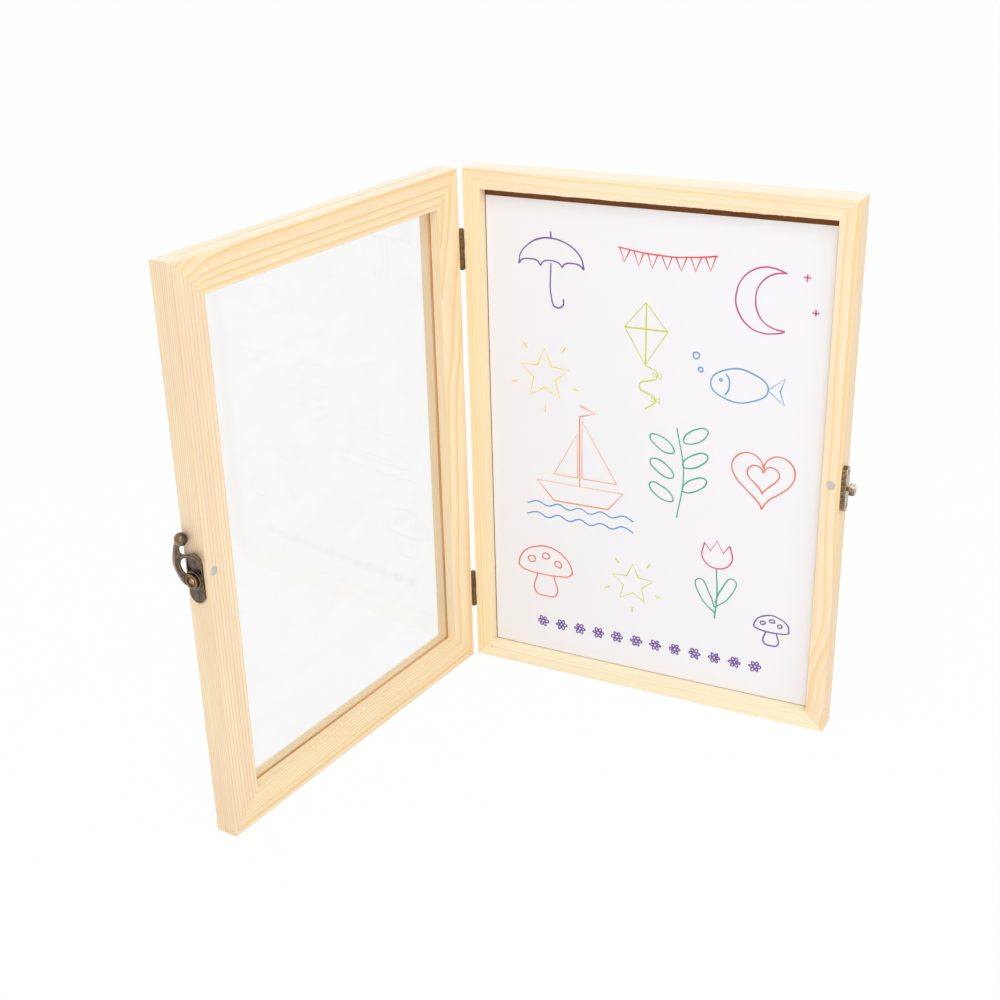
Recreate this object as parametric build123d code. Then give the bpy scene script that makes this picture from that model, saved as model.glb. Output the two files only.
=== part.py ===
from build123d import *
from math import cos, radians, sin, sqrt
import os

# A two-part wooden display frame that opens like a book and stands open by itself.
# Lengths are millimetres. The origin is the middle of the base frame's underside, +Z is up, and the
# viewer stands at -Y. Door pieces are made shut, in front of the base, and then swung open.

# Sheet of paper that the frame is made for
sheet_width = 210.0
sheet_height = 297.0
sheet_thickness = 0.3
sheet_hinge_side_play = 0.5
sheet_latch_side_play = 1.6
sheet_head_play = 5.6
sheet_back_gap = 0.1

# Base frame
base_border = 11.2
base_depth = 17.0
lip_depth = 6.9
rebate_width = 5.0

# Door frame and how it stands open
door_border = 20.3
door_depth = 14.1
closing_gap = 0.3
opening_angle = 96.7

# Clear pane and the groove that it slides in
pane_thickness = 1.5
pane_face_play = 0.3
pane_edge_play = 0.25
pane_top_drop = 0.5
groove_depth = 8.0
groove_from_mating = 6.0

# Back panel and the flat points that hold it
panel_thickness = 3.0
panel_edge_play = 0.3
point_length = 12.0
point_width = 6.0
point_thickness = 0.5
point_drive = 4.0
point_tip = 2.0
side_point_shares = (0.14, 0.5, 0.86)
end_point_shares = (0.2, 0.8)

# Corner fastenings
vnail_inset = 2.2
vnail_leg = 3.0
vnail_thickness = 0.5
vnail_length = 8.0
dowel_radius = 1.5
dowel_length = 14.0
dowel_inset = 10.15
dowel_depths = (3.1, 11.1)

# Disc magnets
magnet_radius = 2.5
magnet_thickness = 2.5
magnet_inset = 5.6

# Butt hinges
hinge_length = 24.6
hinge_inset = 48.7
hinge_axis_offset = 1.8
knuckle_radius = 1.7
knuckle_count = 4
knuckle_gap = 0.12
notch_gap = 0.2
leaf_thickness = 0.8
leaf_reach = 8.5
hinge_pin_radius = 0.7
hinge_pin_play = 0.05
hinge_pin_head_radius = 1.2
hinge_pin_head = 0.3
hinge_pin_head_gap = 0.1
hinge_nail_reach = 5.2
hinge_nail_spacing = 14.0

# Nails that hold the hardware
nail_radius = 0.55
nail_length = 6.0
nail_head_radius = 1.3
nail_head_height = 0.5
fixing_play = 0.05

# Latch on the door's free side
latch_drop = 3.7
latch_from_mating = 6.8
latch_plate_width = 10.4
latch_plate_height = 27.6
latch_plate_thickness = 1.3
latch_boss_radius = 5.1
latch_boss_rise = 1.75
plate_nail_offset = 10.2
hook_gap = 0.1
hook_thickness = 1.2
hook_eye_radius = 4.1
hook_ring_rise = 0.4
hook_recess_radius = 2.9
hook_recess_depth = 0.4
hook_ball_radius = 3.4
hook_ball_lift = 0.7
hook_edge_round = 0.4
rivet_radius = 1.3
rivet_play = 0.05
rivet_head_radius = 2.1
rivet_head_height = 1.0
rivet_grip = 4.0

# Strike on the base's free side
strike_from_mating = 4.2
strike_rise = 1.4
strike_plate_width = 8.0
strike_plate_height = 27.6
strike_plate_thickness = 3.0
scallop_radius = 0.8
scallop_count = 7
scallop_pitch = 3.6
scallop_lip = 1.1
post_neck_radius = 1.3
post_neck_length = 1.5
post_head_radius = 3.7
post_head_length = 3.0
post_head_round = 0.9
post_shank_radius = 1.2
post_shank_length = 4.0
post_play = 0.15
strike_nail_sink = 0.7

# Sawtooth hanger on the back of the top rail
hanger_width = 45.0
hanger_height = 8.5
hanger_thickness = 0.8
hanger_tooth_depth = 1.6
hanger_tooth_count = 9
hanger_tooth_width = 3.0
hanger_edge = 1.0
hanger_nail_inset = 3.2

# Overrun of a cut past the face that it opens
overrun = 1.0

# Outline of the hook, as shares of the distance from its pivot to the strike's post. The first value
# runs towards the mating face and the second runs up.
hook_back_shares = ((-0.22, -0.28), (-0.55, -0.21), (-0.89, 0.20), (-1.06, 0.74), (-0.94, 1.38),
                    (-0.79, 1.82), (-0.62, 2.04))
hook_neck_shares = ((-0.35, 2.10), (-0.18, 1.98), (-0.24, 1.84), (-0.41, 1.69), (-0.65, 1.55),
                    (-0.71, 1.43), (-0.62, 1.31))
hook_beak_shares = ((-0.45, 1.25), (-0.25, 1.29), (0.00, 1.35), (0.25, 1.46), (0.46, 1.42),
                    (0.62, 1.31), (0.72, 1.18), (0.72, 1.10), (0.66, 1.03))
hook_arm_shares = ((-0.51, 0.94), (-0.61, 0.79), (-0.62, 0.62), (-0.54, 0.43), (-0.41, 0.32))
hook_ball_share = (-0.345, 2.035)
beak_angles = (62, 73, 84, 95, 105)
eye_angles = (125, 85, 45, 5, -35, -75, -110)

# Sizes that follow from these
opening_width = sheet_width + sheet_hinge_side_play + sheet_latch_side_play
opening_height = sheet_height + sheet_head_play
frame_width = opening_width + 2 * base_border
frame_height = opening_height + 2 * base_border
half_width = frame_width / 2
base_front = -base_depth / 2
base_back = base_depth / 2
panel_front = base_front + lip_depth
panel_back = panel_front + panel_thickness
rebate_edge = base_border - rebate_width
door_mating = base_front - closing_gap
door_face = door_mating - door_depth
groove_edge = door_border - groove_depth
groove_width = pane_thickness + 2 * pane_face_play
groove_back = door_mating - groove_from_mating
hinge_x = -half_width - hinge_axis_offset
hinge_y = base_front - closing_gap / 2
hinge_axis = Axis((hinge_x, hinge_y, 0), (0, 0, 1))
hinge_levels = {"upper": frame_height - hinge_inset, "lower": hinge_inset}
knuckle_pitch = hinge_length / knuckle_count
leaf_face = -half_width - leaf_thickness
latch_height = frame_height / 2 - latch_drop
strike_height = latch_height + strike_rise
post_distance = sqrt((latch_from_mating + closing_gap + strike_from_mating) ** 2 + strike_rise ** 2)
hook_base = latch_plate_thickness + latch_boss_rise + hook_gap
hook_top = hook_base + hook_thickness
latch_plane = Plane(origin=(half_width, door_mating - latch_from_mating, latch_height),
                    x_dir=(0, 1, 0), z_dir=(1, 0, 0))
strike_plane = Plane(origin=(half_width, base_front + strike_from_mating, strike_height),
                     x_dir=(0, 1, 0), z_dir=(1, 0, 0))


def block(x_limits, y_limits, z_limits):
    """Box between three pairs of limits."""
    limits = (x_limits, y_limits, z_limits)
    middle = [(low + high) / 2 for low, high in limits]
    size = [high - low for low, high in limits]
    return Pos(*middle) * Box(*size)


def prism(corners, front, back):
    """Solid of an upright outline of (x, z) corners, from one depth back to another."""
    outline = Wire.make_polygon([(x, front, z) for x, z in corners], close=True)
    return Solid.extrude(Face(outline), Vector(0, back - front, 0))


def rod(start, end, radius):
    """Round bar between two points."""
    run = Vector(*end) - Vector(*start)
    return Solid.make_cylinder(radius, run.length, Plane(origin=start, z_dir=run))


def on_plane(place, height=0, up=0, across=0):
    """Plane parallel to another, at a height off it and a distance up and across it."""
    return Plane(origin=place.from_local_coords((across, up, height)), x_dir=place.x_dir, z_dir=place.z_dir)


def dome(place, radius, height):
    """Low rounded cap on a plane."""
    ball_radius = (radius * radius + height * height) / (2 * height)
    ball = place * Pos(0, 0, height - ball_radius) * Sphere(ball_radius)
    return ball & Solid.make_cylinder(radius, height, place)


def nail(place, length=nail_length):
    """Domed nail whose head sits on the plane and whose shank goes in behind it."""
    shank = Solid.make_cylinder(nail_radius, length + nail_head_height / 2, on_plane(place, -length))
    return dome(place, nail_head_radius, nail_head_height) + shank


def nail_hole(place, length=nail_length):
    """Hole that a nail's shank fills, with play."""
    depth = length + fixing_play
    return Solid.make_cylinder(nail_radius + fixing_play, depth + overrun, on_plane(place, -depth))


def swing(shape):
    """Turn a door piece from shut to where the door stands open."""
    return shape.rotate(hinge_axis, -opening_angle)


def mitred_frame(border, front, back):
    """Two stiles and two rails with their ends cut at 45 degrees, by name."""
    outer = ((-half_width, 0), (-half_width, frame_height), (half_width, frame_height), (half_width, 0))
    inner = [(x - border if x > 0 else x + border, z - border if z > 0 else z + border) for x, z in outer]
    names = ("stile_hinge_side", "rail_top", "stile_latch_side", "rail_bottom")
    members = {}
    for place, name in enumerate(names):
        after = (place + 1) % len(names)
        members[name] = prism((outer[place], outer[after], inner[after], inner[place]), front, back)
    return members


def cut(members, tools):
    """Take each tool from every frame member that it reaches."""
    for name in members:
        for tool in tools:
            members[name] = members[name] - tool


def corner_places():
    """Each outer corner of the frame with its inward directions along X and Z."""
    return [(side * half_width, level, -side, 1 if level == 0 else -1)
            for side in (-1, 1) for level in (0, frame_height)]


def edge_inset(edge):
    """Limits in X and Z of the frame's outline drawn in by an edge width."""
    return (-half_width + edge, half_width - edge), (edge, frame_height - edge)


def back_panel():
    """Hardboard panel in the rebate, against the lip."""
    across, up = edge_inset(rebate_edge + panel_edge_play)
    return block(across, (panel_front, panel_back), up)


def point_place(share, side):
    """Where a point enters the rebate wall, and the wall's outward direction in X and Z."""
    across, up = edge_inset(rebate_edge)
    middle_x = across[0] + share * (across[1] - across[0])
    middle_z = up[0] + share * (up[1] - up[0])
    return {"left": (across[0], middle_z, -1, 0), "right": (across[1], middle_z, 1, 0),
            "bottom": (middle_x, up[0], 0, -1), "top": (middle_x, up[1], 0, 1)}[side]


def flat_point(x, z, out_x, out_z, play):
    """Flat steel point lying on the panel, its tip driven into the rebate wall."""
    half = point_width / 2 + play
    tail = point_drive - point_length
    shoulder = point_drive - point_tip
    outline = ((tail, -half), (tail, half), (shoulder, half), (point_drive + play, 0), (shoulder, -half))
    corners = [(x + out_x * along - out_z * across, z + out_z * along + out_x * across)
               for along, across in outline]
    return prism(corners, panel_back - play, panel_back + point_thickness + play)


def all_points(play=0):
    """Every point round the panel, or with play the slots that they leave."""
    places = [point_place(share, side) for side in ("left", "right") for share in side_point_shares]
    places += [point_place(share, side) for side in ("bottom", "top") for share in end_point_shares]
    return [flat_point(*place, play) for place in places]


def vnail(x, z, in_x, in_z, play=0):
    """Bent steel strip across a mitre, sunk from the back, with a leg in each member."""
    near = vnail_inset - play
    far = vnail_inset + vnail_leg + play
    wide = vnail_inset + vnail_thickness + play
    outline = ((near, near), (far, near), (far, wide), (wide, wide), (wide, far), (near, far))
    corners = [(x + in_x * along, z + in_z * across) for along, across in outline]
    return prism(corners, base_back - vnail_length - play, base_back)


def corner_dowel(x, z, in_x, in_z, depth, radius, length):
    """Round peg across a door mitre at a depth behind the mating face."""
    reach = length / 2 / sqrt(2)
    middle_x = x + in_x * dowel_inset
    middle_z = z + in_z * dowel_inset
    y = door_mating - depth
    return rod((middle_x - in_x * reach, y, middle_z + in_z * reach),
               (middle_x + in_x * reach, y, middle_z - in_z * reach), radius)


def corner_dowels(play=0):
    """Two pegs in each corner of the door, or with play their holes."""
    return [corner_dowel(*corner, depth, dowel_radius + play, dowel_length + 2 * play)
            for corner in corner_places() for depth in dowel_depths]


def magnet(front, back, play=0):
    """Disc magnet let into the latch-side stile at half height."""
    place = (half_width - magnet_inset, frame_height / 2)
    return rod((place[0], front, place[1]), (place[0], back, place[1]), magnet_radius + play)


def hinge_nail_places(toward):
    """Planes on a hinge leaf's face where its nails go, on the base (1) or the door (-1)."""
    y = hinge_y + toward * hinge_nail_reach
    levels = [level + end * hinge_nail_spacing / 2 for level in hinge_levels.values() for end in (-1, 1)]
    return [Plane(origin=(leaf_face, y, level), z_dir=(-1, 0, 0)) for level in levels]


def hinge_leaf(level, toward, first_knuckle):
    """Hinge leaf on the base (1) or the door (-1), with every second knuckle of the barrel."""
    bottom = level - hinge_length / 2
    notch = knuckle_radius + notch_gap
    root = sorted((hinge_y + toward * notch, hinge_y + toward * leaf_reach))
    leaf = block((leaf_face, -half_width), root, (bottom, bottom + hinge_length))
    for count in range(first_knuckle, knuckle_count, 2):
        low = bottom + count * knuckle_pitch + knuckle_gap / 2
        high = low + knuckle_pitch - knuckle_gap
        tongue = block((leaf_face, -half_width), sorted((hinge_y, hinge_y + toward * notch)), (low, high))
        barrel = rod((hinge_x, hinge_y, low), (hinge_x, hinge_y, high), knuckle_radius)
        leaf = leaf + tongue + barrel
    bore = rod((hinge_x, hinge_y, bottom - overrun), (hinge_x, hinge_y, bottom + hinge_length + overrun),
               hinge_pin_radius + hinge_pin_play)
    leaf = leaf - bore
    for place in hinge_nail_places(toward):
        leaf = leaf - nail_hole(place)
    return leaf


def hinge_pin(level):
    """Headed pin through a hinge's barrel."""
    end = hinge_length / 2 + hinge_pin_head_gap
    pin = rod((hinge_x, hinge_y, level - end), (hinge_x, hinge_y, level + end), hinge_pin_radius)
    for side in (-1, 1):
        pin = pin + rod((hinge_x, hinge_y, level + side * end),
                        (hinge_x, hinge_y, level + side * (end + hinge_pin_head)), hinge_pin_head_radius)
    return pin


def plate_nail_places(place, thickness):
    """Planes of the two nails on a latch or strike plate."""
    return [on_plane(place, thickness, end * plate_nail_offset) for end in (-1, 1)]


def latch_plate():
    """Round-ended plate on the door's side with a boss under the hook's eye."""
    outline = SlotOverall(latch_plate_height, latch_plate_width, rotation=90)
    plate = latch_plane * extrude(outline, latch_plate_thickness)
    face = on_plane(latch_plane, latch_plate_thickness)
    plate = plate + Solid.make_cylinder(latch_boss_radius, latch_boss_rise, face) - latch_bore(fixing_play)
    for hole in plate_nail_places(latch_plane, latch_plate_thickness):
        plate = plate - nail_hole(hole)
    return plate


def latch_bore(play):
    """Space of the rivet's shank from the wood out through the hook, with play."""
    start = on_plane(latch_plane, -rivet_grip - play)
    return Solid.make_cylinder(rivet_radius + play, rivet_grip + play + hook_top + overrun, start)


def latch_rivet():
    """Rivet that the hook turns on, with its head in the hook's recess."""
    seat = hook_top - hook_recess_depth + rivet_play
    start = on_plane(latch_plane, -rivet_grip)
    shank = Solid.make_cylinder(rivet_radius, rivet_grip + seat + rivet_play, start)
    return shank + dome(on_plane(latch_plane, seat), rivet_head_radius, rivet_head_height)


def shared(points):
    """Hook outline points in millimetres from the pivot."""
    return [(across * post_distance, up * post_distance) for across, up in points]


def arc_points(radius, angles):
    """Points at a radius from the pivot, at angles up from the direction of the mating face."""
    return [(radius * cos(radians(angle)), radius * sin(radians(angle))) for angle in angles]


def hook_outline():
    """Flat shape of the hook: arm, neck, beak and the round of its eye, as one smooth closed line."""
    back_to_tip = shared(hook_back_shares + hook_neck_shares + hook_beak_shares)
    underside = arc_points(post_distance + post_neck_radius + post_play, beak_angles)
    eye = arc_points(hook_eye_radius, eye_angles)
    return make_face(Spline(*back_to_tip, *underside, *shared(hook_arm_shares), *eye, periodic=True))


def latch_hook():
    """Swinging hook with a raised ring round its eye and a ball to lift it by."""
    blade = extrude(hook_outline(), hook_thickness)
    blade = fillet(blade.edges().group_by(Axis.Z)[-1], hook_edge_round)
    ring = extrude(Circle(hook_eye_radius), hook_thickness + hook_ring_rise)
    ring = fillet(ring.edges().group_by(Axis.Z)[-1], hook_ring_rise / 2)
    ball_x, ball_y = shared((hook_ball_share,))[0]
    ball = Pos(ball_x, ball_y, hook_thickness / 2 + hook_ball_lift) * Sphere(hook_ball_radius)
    floor = Pos(0, 0, hook_thickness - hook_recess_depth)
    recess = floor * extrude(Circle(hook_recess_radius), hook_recess_depth + hook_ring_rise + overrun)
    bore = extrude(Circle(rivet_radius + rivet_play), hook_thickness)
    return on_plane(latch_plane, hook_base) * (blade + ring + ball - recess - bore)


def strike_plate():
    """Narrow plate on the base's side, its long edges scalloped behind a plain lip."""
    plate = strike_plane * extrude(SlotOverall(strike_plate_height, strike_plate_width, rotation=90),
                                   strike_plate_thickness)
    for side in (-1, 1):
        for count in range(scallop_count):
            up = (count - (scallop_count - 1) / 2) * scallop_pitch
            start = on_plane(strike_plane, -overrun, up, side * strike_plate_width / 2)
            length = overrun + strike_plate_thickness - scallop_lip
            plate = plate - Solid.make_cylinder(scallop_radius, length, start)
    for hole in strike_nail_places():
        sink = Solid.make_cylinder(nail_head_radius + fixing_play, strike_nail_sink + overrun, hole)
        plate = plate - sink - nail_hole(hole)
    return plate - strike_bore(fixing_play)


def strike_nail_places():
    """Planes of the strike's nails, whose heads are sunk below its face to let the hook pass."""
    return plate_nail_places(strike_plane, strike_plate_thickness - strike_nail_sink)


def strike_bore(play):
    """Space of the post's shank through the plate and into the wood, with play."""
    start = on_plane(strike_plane, -post_shank_length - play)
    length = post_shank_length + play + strike_plate_thickness
    return Solid.make_cylinder(post_shank_radius + play, length, start)


def strike_post():
    """Headed post that the hook's beak drops over."""
    shank = extrude(Circle(post_shank_radius), post_shank_length + strike_plate_thickness)
    neck = extrude(Circle(post_neck_radius), post_neck_length)
    head = extrude(Circle(post_head_radius), post_head_length)
    head = fillet(head.edges().group_by(Axis.Z)[-1], post_head_round)
    post = on_plane(strike_plane, -post_shank_length) * shank
    post = post + on_plane(strike_plane, strike_plate_thickness) * neck
    return post + on_plane(strike_plane, strike_plate_thickness + post_neck_length) * head


def hanger_nail_places():
    """Planes of the two nails through the ends of the hanger."""
    up = frame_height - rebate_edge / 2
    return [Plane(origin=(side * (hanger_width / 2 - hanger_nail_inset), base_back + hanger_thickness, up),
                  z_dir=(0, 1, 0)) for side in (-1, 1)]


def hanger_plate():
    """Sawtooth hanger with its teeth hanging below the top rail's back face."""
    top = frame_height - hanger_edge
    bottom = top - hanger_height
    corners = [(-hanger_width / 2, top), (hanger_width / 2, top), (hanger_width / 2, bottom)]
    tooth_start = hanger_tooth_count * hanger_tooth_width / 2
    for count in range(hanger_tooth_count):
        right = tooth_start - count * hanger_tooth_width
        corners += [(right, bottom), (right - hanger_tooth_width / 2, bottom + hanger_tooth_depth)]
    corners += [(-tooth_start, bottom), (-hanger_width / 2, bottom)]
    plate = prism(corners, base_back, base_back + hanger_thickness)
    for place in hanger_nail_places():
        plate = plate - nail_hole(place)
    return plate


def base_pieces():
    """Wood, panel and hardware of the base frame, by name."""
    members = mitred_frame(base_border, base_front, base_back)
    across, up = edge_inset(rebate_edge)
    nail_places = hinge_nail_places(1) + strike_nail_places() + hanger_nail_places()
    cut(members, [block(across, (panel_front, base_back + overrun), up)])
    cut(members, all_points(fixing_play) + [vnail(*corner, play=fixing_play) for corner in corner_places()])
    cut(members, [magnet(base_front - overrun, base_front + magnet_thickness, fixing_play)])
    cut(members, [nail_hole(place) for place in nail_places] + [strike_bore(fixing_play)])
    pieces = {"base_" + name: member for name, member in members.items()}
    pieces["back_panel"] = back_panel()
    pieces["back_panel_points"] = Compound(all_points())
    pieces["base_corner_nails"] = Compound([vnail(*corner) for corner in corner_places()])
    pieces["base_magnet"] = magnet(base_front, base_front + magnet_thickness)
    pieces["strike_plate"] = strike_plate()
    pieces["strike_post"] = strike_post()
    pieces["strike_nails"] = Compound([nail(place) for place in strike_nail_places()])
    pieces["hinge_base_nails"] = Compound([nail(place) for place in hinge_nail_places(1)])
    pieces["hanger_plate"] = hanger_plate()
    pieces["hanger_nails"] = Compound([nail(place) for place in hanger_nail_places()])
    for name, level in hinge_levels.items():
        pieces[name + "_hinge_base_leaf"] = hinge_leaf(level, 1, 0)
        pieces[name + "_hinge_pin"] = hinge_pin(level)
    return pieces


def door_pieces():
    """Wood and hardware of the door, shut, by name."""
    members = mitred_frame(door_border, door_face, door_mating)
    groove = block(edge_inset(groove_edge)[0], (groove_back - groove_width, groove_back),
                   (groove_edge, frame_height + overrun))
    latch_nails = plate_nail_places(latch_plane, latch_plate_thickness)
    nail_places = hinge_nail_places(-1) + latch_nails
    cut(members, [groove] + corner_dowels(fixing_play))
    cut(members, [magnet(door_mating - magnet_thickness, door_mating + overrun, fixing_play)])
    cut(members, [nail_hole(place) for place in nail_places] + [latch_bore(fixing_play)])
    pieces = {"door_" + name: member for name, member in members.items()}
    pieces["door_corner_dowels"] = Compound(corner_dowels())
    pieces["door_magnet"] = magnet(door_mating - magnet_thickness, door_mating)
    pieces["latch_plate"] = latch_plate()
    pieces["latch_plate_nails"] = Compound([nail(place) for place in latch_nails])
    pieces["latch_rivet"] = latch_rivet()
    pieces["latch_hook"] = latch_hook()
    pieces["hinge_door_nails"] = Compound([nail(place) for place in hinge_nail_places(-1)])
    for name, level in hinge_levels.items():
        pieces[name + "_hinge_door_leaf"] = hinge_leaf(level, -1, 1)
    return pieces


def glazing_pane():
    """Clear pane standing in the door's groove, a little below the open slot."""
    across = edge_inset(groove_edge + pane_edge_play)[0]
    back = groove_back - pane_face_play
    return block(across, (back - pane_thickness, back), (groove_edge, frame_height - pane_top_drop))


def artwork_sheet():
    """Sheet of paper standing on the base's bottom rail, just ahead of the panel."""
    hinge_edge = -half_width + base_border + sheet_hinge_side_play
    back = panel_front - sheet_back_gap
    return block((hinge_edge, hinge_edge + sheet_width), (back - sheet_thickness, back),
                 (base_border, base_border + sheet_height))


def main():
    """Write one file for each piece."""
    os.makedirs("parts", exist_ok=True)
    pieces = base_pieces()
    pieces["artwork_sheet"] = artwork_sheet()
    for name, shape in door_pieces().items():
        pieces[name] = swing(shape)
    pieces["glazing_pane"] = swing(glazing_pane())
    for name, shape in pieces.items():
        shape.label = name
        export_step(shape, os.path.join("parts", name + ".step"))


main()
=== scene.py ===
"""Looks of a hinged display frame for children's drawings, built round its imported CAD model.

The base frame holds a drawing against its back panel. The door, with a clear pane, hangs on two bronze
butt hinges and is held shut by two disc magnets and a bronze swing hook. Bench lengths are millimetres,
finished pieces are in metres in the CAD model's own frame.
"""

import logging
import math
import random
from contextlib import contextmanager
from dataclasses import dataclass, replace
from enum import Enum
from typing import Callable, Iterator, Optional, Sequence

import bmesh
import bpy
from mathutils import Matrix, Vector, noise
from mathutils.kdtree import KDTree


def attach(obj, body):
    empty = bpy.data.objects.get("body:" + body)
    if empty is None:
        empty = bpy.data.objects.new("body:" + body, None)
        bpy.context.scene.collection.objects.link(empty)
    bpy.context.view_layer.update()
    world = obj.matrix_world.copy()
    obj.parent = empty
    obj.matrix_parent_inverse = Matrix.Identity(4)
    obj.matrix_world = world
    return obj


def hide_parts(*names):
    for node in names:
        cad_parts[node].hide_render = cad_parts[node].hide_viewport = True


log = logging.getLogger("display_frame")

MM = 0.001
Colour = tuple[float, float, float, float]
Point = tuple[float, float, float]
Line = tuple[tuple[float, float], ...]
Look = dict[str, object]
Piece = bpy.types.Object
Material = bpy.types.Material
Socket = bpy.types.NodeSocket


class Body(str, Enum):
    """CAD bodies that the pieces ride on."""

    BASE = "base"
    DOOR = "door"
    HOOK = "hook"
    PANE = "pane"
    ARTWORK = "artwork"


class Slot(str, Enum):
    """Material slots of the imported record."""

    PINE = "pine"
    HARDBOARD = "hardboard"
    CLEAR = "clear_sheet"
    PAPER = "paper"
    BRONZE = "antique_bronze"
    STEEL = "zinc_steel"
    NICKEL = "nickel"


@dataclass(frozen=True)
class FrameSizes:
    """Sizes that the sub-assemblies share, in millimetres."""

    half_width: float = 117.25
    height: float = 325.0
    base_border: float = 11.2
    base_front: float = -8.5
    door_border: float = 20.3
    door_mating: float = -8.8
    hinge_x: float = -119.05
    hinge_y: float = -8.65
    opening_angle: float = 96.7
    latch_height: float = 158.8
    strike_height: float = 160.2
    latch_from_mating: float = 6.8
    strike_from_mating: float = 4.2


SIZES = FrameSizes()


def srgb(red: int, green: int, blue: int) -> Colour:
    """Colour as written on a screen, as the linear values that a shader takes.

    Args:
        red: Red from 0 to 255.
        green: Green from 0 to 255.
        blue: Blue from 0 to 255.

    Returns:
        Linear red, green, blue and full alpha.
    """
    def linear(value: int) -> float:
        """One channel as a linear value."""
        share = value / 255
        return share / 12.92 if share <= 0.04045 else ((share + 0.055) / 1.055) ** 2.4

    return linear(red), linear(green), linear(blue), 1.0


def axes(along: Point, across: Point, out: Point, origin: Point) -> Matrix:
    """Matrix whose columns are three directions and an origin."""
    matrix = Matrix((along, across, out)).transposed().to_4x4()
    matrix.translation = Vector(origin)
    return matrix


def door_swing() -> Matrix:
    """Turn from where the door is shut to where it stands open, in millimetres."""
    axis = Matrix.Translation((SIZES.hinge_x, SIZES.hinge_y, 0))
    return axis @ Matrix.Rotation(math.radians(-SIZES.opening_angle), 4, "Z") @ axis.inverted()


# ---- Bench: mesh work by operators ----

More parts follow.
